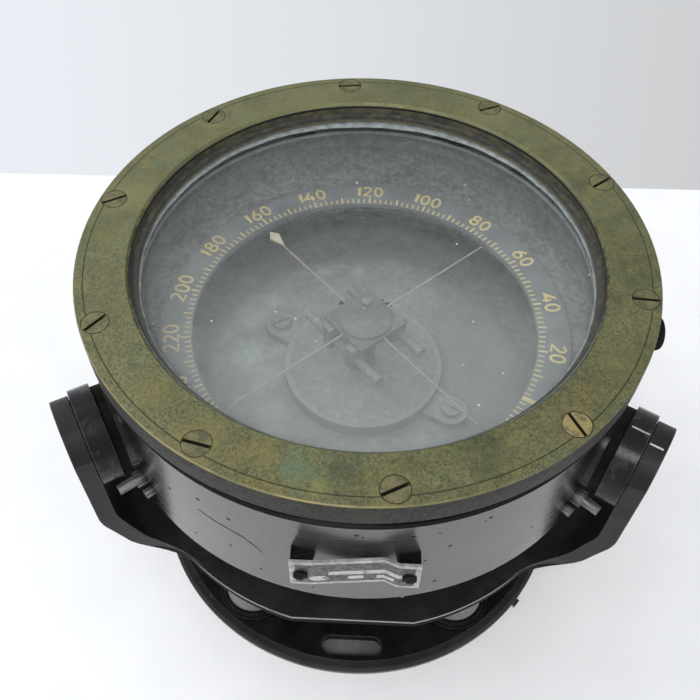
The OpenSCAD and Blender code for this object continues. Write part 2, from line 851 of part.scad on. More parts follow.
module pivot_base() {
    color([0.60, 0.62, 0.61]) difference() {
        union() {
            translate([0, 0, floor_z]) cylinder(r = pivot_base_r, h = pivot_base_h);
            translate([0, 0, floor_z]) linear_extrude(ear_t) rotate([0, 0, ear_az]) {
                square([2 * ear_pcr, 2 * ear_r], center = true);
                for (s = [-1, 1]) translate([s * ear_pcr, 0]) circle(r = ear_r);
            }
        }
        for (a = [0, 180]) polar(ear_az + a, ear_pcr, floor_z + ear_t) shank_hole(ear_screw_r, ear_t + past);
    }
}

module pivot_base_screws() {
    color(brass_clean) for (a = [0, 180]) polar(ear_az + a, ear_pcr, floor_z + ear_t)
        cheese_screw(ear_head_r, ear_head_r / 2, ear_screw_r, ear_t + cover_t - 1, a / 3);
}

module pivot_post() {
    low = floor_z + pivot_base_h;
    color(brass_clean) difference() {
        union() {
            translate([0, 0, low]) cylinder(r = pivot_post_r, h = (post_top - low) / 2);
            translate([0, 0, low]) cylinder(r = pivot_neck_r, h = post_top - low);
        }
        translate([0, 0, post_top]) shank_hole(pivot_pin_r, pivot_post_r);
    }
}

module pivot_pin() {
    shoulder = pivot_tip - pivot_pin_r;
    color(steel) rotate_extrude() polygon([
        [0, post_top - pivot_post_r],
        [pivot_pin_r, post_top - pivot_post_r],
        [pivot_pin_r, shoulder],
        [pivot_point_r, pivot_tip],
        [0, pivot_tip]
    ]);
}

// Needle: magnet system and its filaments, along the child's X axis

module needle_frame() {
    rotate([0, 0, needle_az]) children();
}

module filament(az, reach) {
    rotate([0, 0, az]) translate([magnet_plate_w / 2 - filament_root, 0, filament_z]) rotate([0, 90, 0])
        cylinder(r = filament_r, h = reach - magnet_plate_w / 2 + filament_root, $fn = 24);
}

module magnet_plate() {
    root = magnet_plate_w / 2 - filament_root - fit_gap;
    color([0.62, 0.62, 0.58]) needle_frame() difference() {
        translate([0, 0, plate_z + plate_t / 2])
            cube([magnet_plate_w, magnet_plate_w, plate_t], center = true);
        for (a = [0:90:270]) rotate([0, 0, a]) translate([root, 0, filament_z]) rotate([0, 90, 0])
            cylinder(r = filament_r + fit_gap, h = filament_root + past, $fn = 24);
    }
}

module magnet_clips() {
    height = plate_z - magnet_z + 2 * magnet_r;
    color(brass_clean) needle_frame() for (u = [-clip_pos, clip_pos], v = [-magnet_offset, magnet_offset])
        translate([u, v, plate_z - height / 2]) difference() {
            cube([clip_w, 3 * magnet_r, height], center = true);
            translate([0, 0, magnet_z - plate_z + height / 2]) rotate([0, 90, 0])
                cylinder(r = magnet_r + fit_gap, h = clip_w + 2 * past, center = true);
        }
}

module bar_magnets() {
    color(steel) needle_frame() for (v = [-magnet_offset, magnet_offset])
        translate([0, v, magnet_z]) rotate([0, 90, 0]) cylinder(r = magnet_r, h = magnet_len, center = true);
}

module cap_disc() {
    color([0.55, 0.57, 0.55]) translate([0, 0, plate_top]) cylinder(r = cap_r, h = cap_t);
}

module balance_weight() {
    color(brass_clean) needle_frame() polar(-45, cap_r - weight_r - 0.6, plate_top + cap_t)
        cylinder(r = weight_r, h = weight_h);
}

module jewel_cup() {
    color(brass_clean) translate([0, 0, jewel_z]) difference() {
        cylinder(r = jewel_r, h = jewel_h);
        translate([0, 0, -past]) cylinder(r = jewel_bore_r, h = jewel_h - jewel_crown + past);
    }
}

module north_filament() {
    color([0.78, 0.52, 0.26]) needle_frame() filament(0, needle_reach - tip_len / 2);
}

module north_tip() {
    inner = needle_reach - tip_len;
    color([0.82, 0.72, 0.50]) needle_frame() difference() {
        translate([0, 0, filament_z]) linear_extrude(tip_t) polygon([
            [inner, 0],
            [needle_reach - tip_len / 3, -tip_w / 2],
            [needle_reach, 0],
            [needle_reach - tip_len / 3, tip_w / 2]
        ]);
        filament(0, needle_reach - tip_len / 2 + fit_gap);
    }
}

module tail_filament() {
    color([0.78, 0.52, 0.26]) needle_frame() filament(180, needle_reach);
}

module cross_filaments() {
    color([0.85, 0.86, 0.84]) needle_frame() for (a = [90, 270]) filament(a, cross_reach);
}

base_flange();
post_feet();
rubber_posts();
post_heads();
base_screws();
spider_screws();
spider();
eye_stud_right();
eye_stud_rear();
eye_stud_left();
mount_necks();
mount_bolts();
mount_cup_right();
mount_cup_rear();
mount_cup_left();
rubber_bush_right();
rubber_bush_rear();
rubber_bush_left();
bowl_shell();
bottom_gasket();
bottom_cover();
bottom_screws();
corrector_box();
corrector_screws();
corrector_magnets();
expansion_diaphragm();
bezel_ring();
bezel_screws();
upper_gasket();
cover_glass();
lower_gasket();
dial_ring();
dial_rivets();
anchor_pins();
anchor_screws();
nameplate_lugs();
nameplate();
nameplate_screws();
filler_plug();
filler_washer();
pivot_base();
pivot_base_screws();
pivot_post();
pivot_pin();
magnet_plate();
magnet_clips();
bar_magnets();
cap_disc();
balance_weight();
jewel_cup();
north_filament();
north_tip();
tail_filament();
cross_filaments();
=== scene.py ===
import random
from functools import cached_property, partialmethod
from math import cos, pi, radians, sin

import bmesh
import bpy
from mathutils import Matrix, Vector


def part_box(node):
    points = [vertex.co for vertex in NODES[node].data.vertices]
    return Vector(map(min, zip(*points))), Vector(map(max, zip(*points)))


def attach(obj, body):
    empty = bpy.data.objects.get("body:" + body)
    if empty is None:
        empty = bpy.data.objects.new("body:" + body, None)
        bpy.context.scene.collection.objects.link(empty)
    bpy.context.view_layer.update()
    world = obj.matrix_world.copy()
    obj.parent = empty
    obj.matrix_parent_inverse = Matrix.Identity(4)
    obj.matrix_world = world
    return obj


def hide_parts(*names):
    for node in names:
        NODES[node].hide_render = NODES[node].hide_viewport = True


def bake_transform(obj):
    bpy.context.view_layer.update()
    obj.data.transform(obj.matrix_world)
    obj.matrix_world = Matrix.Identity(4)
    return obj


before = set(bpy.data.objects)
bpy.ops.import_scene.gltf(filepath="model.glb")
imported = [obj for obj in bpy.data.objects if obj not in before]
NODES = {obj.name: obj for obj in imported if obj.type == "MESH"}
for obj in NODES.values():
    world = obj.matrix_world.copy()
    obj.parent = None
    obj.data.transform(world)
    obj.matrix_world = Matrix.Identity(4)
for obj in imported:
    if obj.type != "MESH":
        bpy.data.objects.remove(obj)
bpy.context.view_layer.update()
MM = 0.001
UP = Vector((0, 0, 1))
RNG = random.Random(11)

# Sizes of the part that the looks refer to, in mm, with azimuths in degrees
BEZEL_R = 75
BEZEL_SCREW_R = 70.9
BEZEL_SCREW_AZ = 96.2
BEZEL_SCREW_STEP = 36
BEZEL_HEAD_R = 3.3
BEZEL_LINE_R = 72.6
OPENING_R = 61.3
WALL_R = 73.9
WALL_MID_R = 70.2
FLANGE_T = 4
GROOVE_H = 5.2
CHAMBER_R = 67
LEDGE_R = 60.5
LEDGE_DROP = 5.2
DIAL_ZERO_AZ = -30
DIAL_RI = 49.4
DIAL_RO = 58.6
FOOT_R = 24
EAR_AZ = (-30, 150)
EAR_REACH = 30.5
EAR_R = 5
BASE_RIM_R = 69.3
SPIDER_TOP = 45.3
MOUNT_Z = 90.8
ARM_RIGHT = -30
ARMS = {"right": ARM_RIGHT, "rear": 90, "left": -150}

# Wear and light: the bright screw's place clockwise after the first, the azimuth of the painted highlight
# on the bezel's corner, and the slots' dirt
BRIGHT_SCREW = 4
CORNER_HIGHLIGHT_AZ = -118
SLOT_DIRT = 0.22

# Washers between a mount's cup and the arm's eye
CUP_OUT = 82.8
EYE_IN = 83.1
WASHER_R = 10.8
WASHER_BORE = 5
WASHER_GAP = 0.03

# Rubber bush in a mount's cup: a sleeve on the stud, a ring in the cup and two level webs between them
STUD_R = 2.5
SLEEVE_R = 4.4
RING_BORE = 7.4
BUSH_FIT = 0.05
BUSH_LIP = 0.6
WEB_HALF_H = 2.6
WEB_INSET = 0.8
WEB_FOOT = 1.1
WEB_STEPS = 10

# Where a look fades in, from none to full, in mm along the axis or radius that ends its name
BRASS_GRAIN_Y = (25, -35)
BRASS_LIGHT_Y = (-10, 45)
BRASS_LIGHT_X = (-30, -65)
BRASS_LIP_SHADOW_Y = (40, 0)
BRASS_SHINE_Y = (-15, -40)
GLASS_MILK_Y = (34, -56)
WALL_DULL_Z = (93, 73)
INNER_LIT_Z = (99, 109)
FLOOR_SHADE_X = (8, 42)
FLOOR_DIAL_SHADOW_R = (47, 53)
CONTACT_SHADOW_R = (69.5, 68)

# Stains on the bezel: azimuth in degrees, distance from the axis and size in mm, colour, strength
BEZEL_STAINS = [
    (-119.8, 69, 8, (0.215, 0.18, 0.062), 0.55),
    (-134, 68, 7, (0.21, 0.18, 0.06), 0.45),
    (-108.5, 66.5, 5, (0.225, 0.19, 0.072), 0.55),
    (-101, 68, 6.5, (0.125, 0.19, 0.115), 0.55),
    (-97, 71.5, 3, (0.26, 0.27, 0.08), 0.5),
    (-92, 66, 6, (0.062, 0.074, 0.036), 0.6),
    (-84, 70.5, 6, (0.23, 0.185, 0.06), 0.45),
    (-66, 67.5, 9, (0.066, 0.07, 0.03), 0.62),
    (-30, 68, 9, (0.19, 0.172, 0.066), 0.4),
    (-160, 69, 9, (0.08, 0.088, 0.042), 0.45),
    (165, 68, 11, (0.205, 0.2, 0.088), 0.65),
    (60, 68, 11, (0.19, 0.19, 0.085), 0.6),
    (105, 68, 12, (0.185, 0.19, 0.08), 0.6),
    (25, 68, 8, (0.075, 0.08, 0.04), 0.4),
]
STAIN_GAIN = 1.15
# Pale deposits on the chamber's floor: azimuth, distance, size and strength, in the same units
FLOOR_CHALK = [
    (138, 41, 3, 0.85),
    (174, 36, 5, 0.9),
    (151, 41, 5, 0.6),
    (110, 43.5, 2.6, 0.55),
    (94, 42, 2, 0.5),
    (26, 45, 4.5, 0.5),
    (10, 43.5, 5, 0.55),
]
# Nameplate's field and its blank panels: across and up from its middle, half width and half height, in mm
PLATE_FIELD_HALF = 13.6
PLATE_BORDER = 1.1
PLATE_PANELS = [(2.6, -0.1, 8.6, 0.85), (0.2, -2.7, 1.7, 0.75), (7, -2.9, 1.9, 0.7)]
PLATE_OVAL = (-8.3, -2.6, 2.3, 1.35)


def top_mm(node):
    """Height of a node's highest point, in mm."""
    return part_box(node)[1][2] / MM


def low_mm(node):
    """Height of a node's lowest point, in mm."""
    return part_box(node)[0][2] / MM


BEZEL_TOP = top_mm("bezel_ring")
FLANGE_Z = low_mm("bezel_ring") - FLANGE_T
GROOVE_Z = FLANGE_Z - GROOVE_H
GLASS_TOP = top_mm("cover_glass")
GLASS_LOW = low_mm("cover_glass")
LEDGE_Z = GLASS_LOW - LEDGE_DROP
DIAL_TOP = top_mm("dial_ring")
FLOOR_TOP = top_mm("bottom_cover")
PLATE_MID_Z = (top_mm("nameplate") + low_mm("nameplate")) / 2
PLATE_H = top_mm("nameplate") - low_mm("nameplate")


# Materials

def put(tree, value, socket):
    """Link an output to a socket, or set the socket to a plain value."""
    if isinstance(value, bpy.types.NodeSocket):
        tree.links.new(value, socket)
    elif socket.type == "RGBA":
        socket.default_value = (*value, 1)
    else:
        socket.default_value = value


def new_node(tree, kind, inputs=(), **settings):
    """A new node with the given settings, and inputs by name or number."""
    node = tree.nodes.new("ShaderNode" + kind)
    for key, value in settings.items():
        setattr(node, key, value)
    for key, value in dict(inputs).items():
        put(tree, value, node.inputs[key])
    return node


class Shader:
    """One material, with short calls for the nodes that this scene uses. Lengths are in mm."""

    def __init__(self, name, **sockets):
        self.mat = bpy.data.materials.new(name)
        self.mat.use_nodes = True
        self.tree = self.mat.node_tree
        self.bsdf = self.tree.nodes["Principled BSDF"]
        self.coord = self.node("TexCoord")
        place = self.coord.outputs["Object"]
        self.at = self.node("VectorMath", {0: place, "Scale": 1 / MM}, operation="SCALE").outputs[0]
        self.x, self.y, self.z = self.node("SeparateXYZ", {0: self.at}).outputs
        self.colour = None
        for key, value in sockets.items():
            self.set(key, value)

    def node(self, kind, inputs=(), **settings):
        return new_node(self.tree, kind, inputs, **settings)

    def set(self, name, value):
        """Set or link one of the surface's own sockets."""
        put(self.tree, value, self.bsdf.inputs[name])

    def math(self, op, *values):
        return self.node("Math", enumerate(values), operation=op).outputs[0]

    def chain(self, op, *values):
        """Put several values through one operation, from left to right."""
        out = values[0]
        for value in values[1:]:
            out = self.math(op, out, value)
        return out

    times = partialmethod(chain, "MULTIPLY")
    plus = partialmethod(chain, "ADD")
    minus = partialmethod(chain, "SUBTRACT")
    most = partialmethod(chain, "MAXIMUM")

    def hypot(self, a, b):
        return self.math("SQRT", self.plus(self.times(a, a), self.times(b, b)))

    @cached_property
    def r(self):
        """Distance from the bowl's axis."""
        return self.hypot(self.x, self.y)

    @cached_property
    def azimuth(self):
        """Angle round the bowl's axis, in radians."""
        return self.math("ARCTAN2", self.y, self.x)

    def off_axis(self, az, reach):
        """Distance from an upright axis at an azimuth in degrees and a distance from the bowl's axis."""
        dx = self.minus(self.x, reach * cos(radians(az)))
        dy = self.minus(self.y, reach * sin(radians(az)))
        return self.hypot(dx, dy)

    def spot(self, az, reach, size, lumps, spread, outer, inner):
        """One round an upright axis, falling to zero over an edge that lumps of noise make ragged."""
        gap = self.plus(self.off_axis(az, reach), self.times(lumps, spread * size))
        return self.ramp(gap, outer * size, inner * size)

    def by_arms(self, half, soft):
        """One within half, in radians, of an arm's azimuth."""
        return self.most(*(self.near(self.azimuth, radians(az), half, soft) for az in ARMS.values()))

    def stretch(self, *scale):
        """Coordinates with each axis scaled."""
        return self.node("VectorMath", {0: self.at, 1: scale}, operation="MULTIPLY").outputs[0]

    def around(self, turns, across, up):
        """Coordinates round the bowl: angle, distance from the axis and height, each scaled."""
        scaled = (self.times(self.azimuth, turns), self.times(self.r, across), self.times(self.z, up))
        return self.node("CombineXYZ", enumerate(scaled)).outputs[0]

    def noise(self, size, detail=3, rough=0.55, at=None, warp=0):
        """Noise whose blobs are about the given size across."""
        inputs = {"Vector": at or self.at, "Scale": 1 / size, "Detail": detail, "Roughness": rough,
                  "Distortion": warp}
        return self.node("TexNoise", inputs).outputs["Fac"]

    def cells(self, size, feature="F1"):
        """Distance from the middles or edges, by feature, of cells about the given size across."""
        node = self.node("TexVoronoi", {"Vector": self.at, "Scale": 1 / size}, feature=feature)
        return node.outputs["Distance"]

    def ramp(self, value, low, high, to_low=0, to_high=1):
        """Map low..high to to_low..to_high, clamped and eased."""
        inputs = {"Value": value, "From Min": low, "From Max": high, "To Min": to_low, "To Max": to_high}
        return self.node("MapRange", inputs, interpolation_type="SMOOTHSTEP").outputs["Result"]

    def near(self, value, centre, half, soft):
        """One within half of centre, falling to zero over soft."""
        return self.ramp(self.math("ABSOLUTE", self.minus(value, centre)), half + soft, half)

    def mix(self, fac, a, b):
        """Colour between a and b, which are inputs 6 and 7 of the node."""
        return self.node("Mix", {"Factor": fac, 6: a, 7: b}, data_type="RGBA").outputs[2]

    def blend(self, fac, a, b):
        """Number between a and b, which are inputs 2 and 3 of the node."""
        return self.node("Mix", {"Factor": fac, 2: a, 3: b}).outputs[0]

    def tones(self, noise, low, high, dark, light):
        """Two tones, mixed by a noise between low and high."""
        return self.mix(self.ramp(noise, low, high), dark, light)

    def coat(self, fac, tone, share=None):
        """Lay a tone over the colour so far, or only a share of it."""
        self.colour = self.mix(self.times(fac, share) if share else fac, self.colour, tone)

    def spread(self, noise, low, high):
        """Number from low to high over the usual range of a noise."""
        return self.ramp(noise, 0.3, 0.7, low, high)

    def roughen(self, noise, low, high):
        """Let the roughness vary from low to high with a noise."""
        self.set("Roughness", self.spread(noise, low, high))

    def edge(self, size):
        """Rounded normal near sharp edges, and a mask that is one on them."""
        bevel = self.node("Bevel", {"Radius": size * MM}).outputs[0]
        normal = self.node("NewGeometry").outputs["Normal"]
        dot = self.node("VectorMath", {0: bevel, 1: normal}, operation="DOT_PRODUCT")
        return bevel, self.ramp(dot.outputs["Value"], 0.995, 0.9)

    def up(self):
        """How far a face looks up, from the piece's own normals."""
        return self.node("SeparateXYZ", {0: self.coord.outputs["Normal"]}).outputs[2]

    def bump(self, height, depth, strength, normal=None):
        """Raise the surface by up to depth, on top of a rounded normal if one is given."""
        node = self.node("Bump", {"Strength": strength, "Distance": depth * MM, "Height": height})
        if normal is not None:
            put(self.tree, normal, node.inputs["Normal"])
        self.set("Normal", node.outputs[0])

    def done(self):
        """Give the surface its colour, and return the material."""
        self.set("Base Color", self.colour)
        return self.mat


def darker(tone, share):
    return tuple(share * v for v in tone)


def black_enamel(name, dark, light, wear, dust, rough, gloss, rim_r=None, edge_z=None, scuff=0):
    """Old semi-gloss enamel: uneven black, specks, rubbed edges, a little dust.

    Paint is thin out past rim_r. A plate's edge at height edge_z gets a painted highlight, with painted
    shade on the side below.
    Scuff is the strength of grey patches.
    """
    s = Shader(name, IOR=1.5)
    s.set("Specular IOR Level", gloss)
    fine = s.noise(0.7, 3, 0.6)
    s.colour = s.tones(s.noise(11, 4, 0.6), 0.35, 0.7, dark, light)
    specks = s.times(s.ramp(s.cells(2.6), 0.16, 0.08), s.ramp(s.noise(6), 0.54, 0.66))
    s.coat(specks, (0.06, 0.058, 0.052))
    normal, rim = s.edge(0.4)
    rubbed = s.times(rim, s.ramp(s.noise(4, 4, 0.65), 0.3, 0.55), wear)
    if rim_r:
        bare = s.times(s.ramp(s.r, rim_r - 0.2, rim_r + 0.4), s.ramp(s.z, 1.3, 0.5, 0.12, 1),
                       s.ramp(s.noise(9, 4, 0.6), 0.28, 0.5, 0.55, 1))
        rubbed = s.most(rubbed, bare)
    s.coat(rubbed, (0.21, 0.207, 0.195))
    if scuff:
        patches = s.ramp(s.noise(5.5, 6, 0.68, warp=0.5), 0.54, 0.66)
        s.coat(patches, (0.105, 0.1, 0.09), scuff)
    if edge_z:
        # Painted shade: the plate's side below its edge is painted near black and dull.
        flank_shade = s.times(s.near(s.z, edge_z - 1.7, 1.6, 0.2), s.ramp(s.up(), 0.5, 0.2))
        s.coat(flank_shade, (0.005, 0.005, 0.005))
        s.set("Specular IOR Level", s.blend(flank_shade, gloss, 0.03))
        # Painted highlight: a pale grey band along the top of the plate's side, kept off the arms.
        bright = s.times(s.near(s.z, edge_z - 0.25, 0.45, 0.25), s.ramp(s.up(), 0.7, 0.3),
                         s.ramp(s.noise(8, 4), 0.28, 0.46, 0.3, 1),
                         s.minus(1, s.by_arms(0.3, 0.12)))
        s.coat(bright, (0.36, 0.36, 0.345))
    settled = s.times(s.ramp(s.up(), 0.45, 0.95), s.ramp(s.noise(5, 5, 0.6), 0.4, 0.75), dust)
    s.coat(settled, (0.16, 0.155, 0.14))
    skin = s.spread(fine, rough - 0.05, rough + 0.06)
    s.set("Roughness", s.plus(skin, s.times(settled, 0.3)))
    s.bump(s.plus(s.times(s.noise(1.6, 3), 0.7), s.times(fine, 0.3)), 0.03, 0.3, normal)
    return s.done()


def bowl_paint():
    """Bowl: glossy worn wall with painted shade by the arms, matt flange, a groove painted near black as
    painted shade, and a wrinkled grey inside with painted light towards its top and painted shade on the
    ledge's face.
    """
    s = Shader("bowl_paint", IOR=1.85)
    inside = s.ramp(s.r, WALL_MID_R + 0.4, WALL_MID_R - 0.4)
    flange = s.ramp(s.z, FLANGE_Z - 0.1, FLANGE_Z + 0.1)
    # Painted shade: the groove is painted near black and dull.
    groove = s.times(s.ramp(s.z, GROOVE_Z - 0.05, GROOVE_Z + 0.05), s.minus(1, flange))
    lathe = s.noise(1, 3, 0.6, s.around(1.5, 0, 2.4))
    wall = s.tones(s.noise(16, 4, 0.6), 0.35, 0.68, (0.046, 0.046, 0.045), (0.058, 0.058, 0.056))
    wall = s.mix(s.ramp(lathe, 0.5, 0.78, 0, 0.4), wall, (0.075, 0.075, 0.072))
    nick = s.times(s.ramp(s.cells(5.2), 0.1, 0.05), s.ramp(s.noise(14), 0.55, 0.66))
    wall = s.mix(nick, wall, (0.008, 0.007, 0.006))
    shade = s.times(s.by_arms(0.215, 0.12), s.ramp(s.noise(9, 3), 0.25, 0.45, 0.8, 1))
    wall = s.mix(shade, wall, (0.01, 0.0095, 0.009))
    side = s.noise(0.7, 5, 0.7, s.around(60, 0, 0.5))
    rim = s.tones(side, 0.3, 0.72, (0.017, 0.0168, 0.016), (0.056, 0.055, 0.052))
    rim = s.mix(s.ramp(s.noise(7, 4), 0.5, 0.7, 0, 0.5), rim, (0.05, 0.045, 0.03))
    wrinkle = s.plus(s.noise(1.7, 2, 0.5, s.stretch(1, 1, 1.05), 0.5),
                     s.times(s.noise(4.5, 2), 0.35))
    folds = s.ramp(wrinkle, 0.51, 0.84)
    inner = s.mix(folds, (0.156, 0.161, 0.155), (0.285, 0.295, 0.284))
    stain = s.ramp(s.noise(20, 4, 0.6), 0.5, 0.68, 0, 0.25)
    inner = s.mix(stain, inner, (0.23, 0.243, 0.237))
    # Painted light: the inside wall is painted paler towards its top.
    pale = s.mix(folds, (0.3, 0.31, 0.305), (0.56, 0.58, 0.57))
    inner = s.mix(s.ramp(s.z, *INNER_LIT_Z, 0, 0.22), inner, pale)
    # Painted shade: the ledge's inner face is painted darker.
    ledge = s.times(s.ramp(s.r, LEDGE_R + 0.5, LEDGE_R + 0.2),
                    s.ramp(s.z, LEDGE_Z - 0.4, LEDGE_Z - 0.1))
    inner = s.mix(ledge, inner, s.mix(folds, (0.095, 0.1, 0.098), (0.16, 0.167, 0.164)))
    s.colour = s.mix(flange, wall, rim)
    s.coat(groove, (0.006, 0.006, 0.006))
    s.coat(inside, inner)
    dull = s.most(flange, groove, s.times(shade, 0.85))
    s.set("Specular IOR Level", s.blend(dull, s.ramp(s.z, *WALL_DULL_Z, 0.44, 0.36), 0.06))
    rough = s.blend(flange, s.ramp(lathe, 0.34, 0.7, 0.18, 0.29), 0.52)
    s.set("Roughness", s.blend(inside, rough, 0.5))
    wall_height = s.plus(s.times(lathe, 0.03), s.times(s.noise(14, 1), 0.25))
    height = s.blend(flange, s.minus(wall_height, nick), side)
    s.bump(s.blend(inside, height, s.times(wrinkle, 4.5)), 0.1, 0.5)
    return s.done()


def old_brass():
    """Bezel: olive tarnish with green and brown blotches, pits and a scribed line; painted light towards
    the back and left, a painted highlight on the outer corner, and painted shadow round the opening and in
    the bore.
    """
    s = Shader("old_brass")
    big = s.noise(15, 5, 0.62, warp=0.4)
    mid = s.noise(4.2, 5, 0.65)
    fine = s.noise(0.8, 4, 0.7)
    s.colour = s.tones(big, 0.36, 0.64, (0.098, 0.102, 0.044), (0.15, 0.154, 0.072))
    rust = s.ramp(s.noise(9, 5, 0.65, s.stretch(1.1, 0.9, 1), 0.8), 0.5, 0.66)
    s.coat(rust, (0.19, 0.15, 0.052), 0.7)
    sludge = s.ramp(s.noise(12, 5, 0.65, s.stretch(0.9, 1.15, 1), 0.6), 0.52, 0.68)
    s.coat(sludge, (0.062, 0.07, 0.034), 0.7)
    s.coat(s.ramp(mid, 0.5, 0.72, 0, 0.75), (0.215, 0.19, 0.075))
    s.coat(s.ramp(mid, 0.46, 0.3, 0, 0.75), (0.058, 0.062, 0.034))
    green = s.ramp(s.noise(13, 4, 0.65, s.stretch(1, 1.2, 1)), 0.56, 0.7)
    s.coat(s.times(green, s.ramp(fine, 0.4, 0.65), 0.75), (0.125, 0.19, 0.115))
    pits = s.times(s.ramp(s.cells(1.5), 0.2, 0.1), s.ramp(mid, 0.42, 0.55))
    s.coat(pits, (0.018, 0.016, 0.01), 0.85)
    grain = s.ramp(s.noise(0.55, 4, 0.75), 0.42, 0.64)
    soot = s.ramp(s.noise(0.68, 4, 0.75, s.stretch(1.07, 0.93, 1)), 0.58, 0.4)
    front = s.ramp(s.y, *BRASS_GRAIN_Y, 0.3, 1)
    # Painted light: the brass is painted lighter towards the back and the left.
    back_left_light = s.most(s.ramp(s.y, *BRASS_LIGHT_Y, 0, 0.3), s.ramp(s.x, *BRASS_LIGHT_X, 0, 0.3))
    s.coat(back_left_light, (0.205, 0.208, 0.098))
    s.coat(s.times(soot, front, 0.7), (0.042, 0.047, 0.024))
    s.coat(s.times(grain, front, 0.5), (0.242, 0.236, 0.098))
    lumps = s.plus(mid, fine)
    speckle = s.ramp(fine, 0.34, 0.6, 0.45, 1)
    for az, reach, size, tone, much in BEZEL_STAINS:
        spot = s.spot(az, reach, size, lumps, 2.2, 3.2, 2.3)
        s.coat(s.times(spot, speckle, STAIN_GAIN * much), tone)

    # Screws' seams and stains
    step = radians(BEZEL_SCREW_STEP)
    turn = s.minus(s.azimuth, radians(BEZEL_SCREW_AZ))
    off = s.minus(turn, s.times(s.math("ROUND", s.math("DIVIDE", turn, step)), step))
    gap = s.hypot(s.times(off, BEZEL_SCREW_R), s.minus(s.r, BEZEL_SCREW_R))
    seam = s.times(s.ramp(gap, BEZEL_HEAD_R + 0.36, BEZEL_HEAD_R + 0.1),
                   s.ramp(mid, 0.32, 0.52, 0.45, 1))
    stain = s.times(s.ramp(gap, BEZEL_HEAD_R + 3.4, BEZEL_HEAD_R), s.ramp(mid, 0.45, 0.6))
    s.coat(stain, (0.215, 0.18, 0.07), 0.5)

    # Inner lip and bore, with a painted shadow along the lip and a painted shadow line in the bore
    lip = s.times(s.ramp(s.r, OPENING_R + 0.9, OPENING_R + 0.3),
                  s.ramp(s.noise(3, 4), 0.4, 0.56), s.ramp(s.y, *BRASS_LIP_SHADOW_Y, 0.15, 1))
    s.coat(lip, (0.022, 0.02, 0.013), 0.85)
    bore = s.times(s.ramp(s.r, OPENING_R + 0.25, OPENING_R + 0.05),
                   s.ramp(s.z, BEZEL_TOP - 0.15, BEZEL_TOP - 0.35))
    s.coat(bore, s.tones(mid, 0.4, 0.62, (0.08, 0.079, 0.073), (0.15, 0.14, 0.08)))
    # Painted shadow: a dark line painted round the bore below its top.
    s.coat(s.times(bore, s.near(s.z, BEZEL_TOP - 1, 0.35, 0.2)), (0.018, 0.017, 0.013))
    shine = s.times(s.ramp(s.r, OPENING_R + 0.34, OPENING_R + 0.18), s.ramp(s.y, *BRASS_SHINE_Y))
    s.coat(shine, (0.27, 0.305, 0.315), 0.8)

    # Scribed line, outer corner with a painted highlight, and side
    line = s.near(s.r, BEZEL_LINE_R, 0.1, 0.1)
    s.coat(s.most(s.times(line, 0.8), seam), (0.016, 0.014, 0.009))
    # Painted highlight along the outer corner, strongest round one azimuth.
    corner = s.times(s.ramp(s.r, BEZEL_R - 0.4, BEZEL_R - 0.1),
                     s.ramp(s.z, BEZEL_TOP - 0.6, BEZEL_TOP - 0.2),
                     s.ramp(s.noise(11, 3), 0.36, 0.6, 0.35, 1),
                     s.near(s.azimuth, radians(CORNER_HIGHLIGHT_AZ), 0.3, 0.85))
    s.coat(corner, (0.36, 0.29, 0.13))
    side = s.times(s.ramp(s.r, BEZEL_R - 0.2, BEZEL_R - 0.03),
                   s.ramp(s.z, BEZEL_TOP - 0.35, BEZEL_TOP - 0.75))
    streak = s.noise(0.7, 5, 0.7, s.around(60, 0, 0.5))
    s.coat(side, s.tones(streak, 0.3, 0.7, (0.02, 0.0195, 0.017), (0.06, 0.058, 0.051)))
    s.set("Specular IOR Level", s.blend(side, 0.5, 0.08))
    s.set("Metallic", s.blend(side, 0.45, 0.1))
    s.roughen(mid, 0.4, 0.6)
    lathe = s.noise(1, 2, 0.5, s.around(2, 3.2, 0))
    height = s.plus(s.times(fine, 0.8), s.times(lathe, 0.35), s.times(mid, 0.6))
    s.bump(s.minus(height, s.plus(s.times(pits, 0.8), s.times(line, 2))), 0.1, 0.55)
    return s.done()


def screw_brass():
    """Bezel's screw heads: tarnished like it, one rubbed bright, dirt down in the slots."""
    s = Shader("bezel_screw_brass", Metallic=0.45)
    mid = s.noise(2.4, 4, 0.65)
    fine = s.noise(0.5, 3, 0.6)
    s.colour = s.tones(mid, 0.34, 0.66, (0.095, 0.092, 0.045), (0.19, 0.172, 0.078))
    bright_az = radians(BEZEL_SCREW_AZ - BRIGHT_SCREW * BEZEL_SCREW_STEP)
    fresh = s.near(s.azimuth, bright_az, 0.08, 0.02)
    s.coat(s.times(fresh, s.ramp(mid, 0.3, 0.5)), (0.33, 0.265, 0.105))
    s.coat(s.ramp(s.noise(5.5, 2), 0.55, 0.72, 0, 0.7), (0.115, 0.12, 0.05))
    pits = s.ramp(s.cells(0.9), 0.2, 0.11)
    s.coat(pits, (0.03, 0.024, 0.012), 0.7)
    normal, rim = s.edge(0.16)
    s.coat(s.times(rim, s.ramp(fine, 0.45, 0.62), 0.6), (0.36, 0.3, 0.15))
    dirt = s.ramp(s.z, BEZEL_TOP - SLOT_DIRT, BEZEL_TOP - 2.2 * SLOT_DIRT)
    s.coat(dirt, (0.012, 0.01, 0.007))
    s.set("Roughness", s.blend(dirt, s.spread(fine, 0.34, 0.55), 0.9))
    s.bump(s.minus(s.plus(mid, s.times(fine, 0.5)), pits), 0.06, 0.5, normal)
    return s.done()


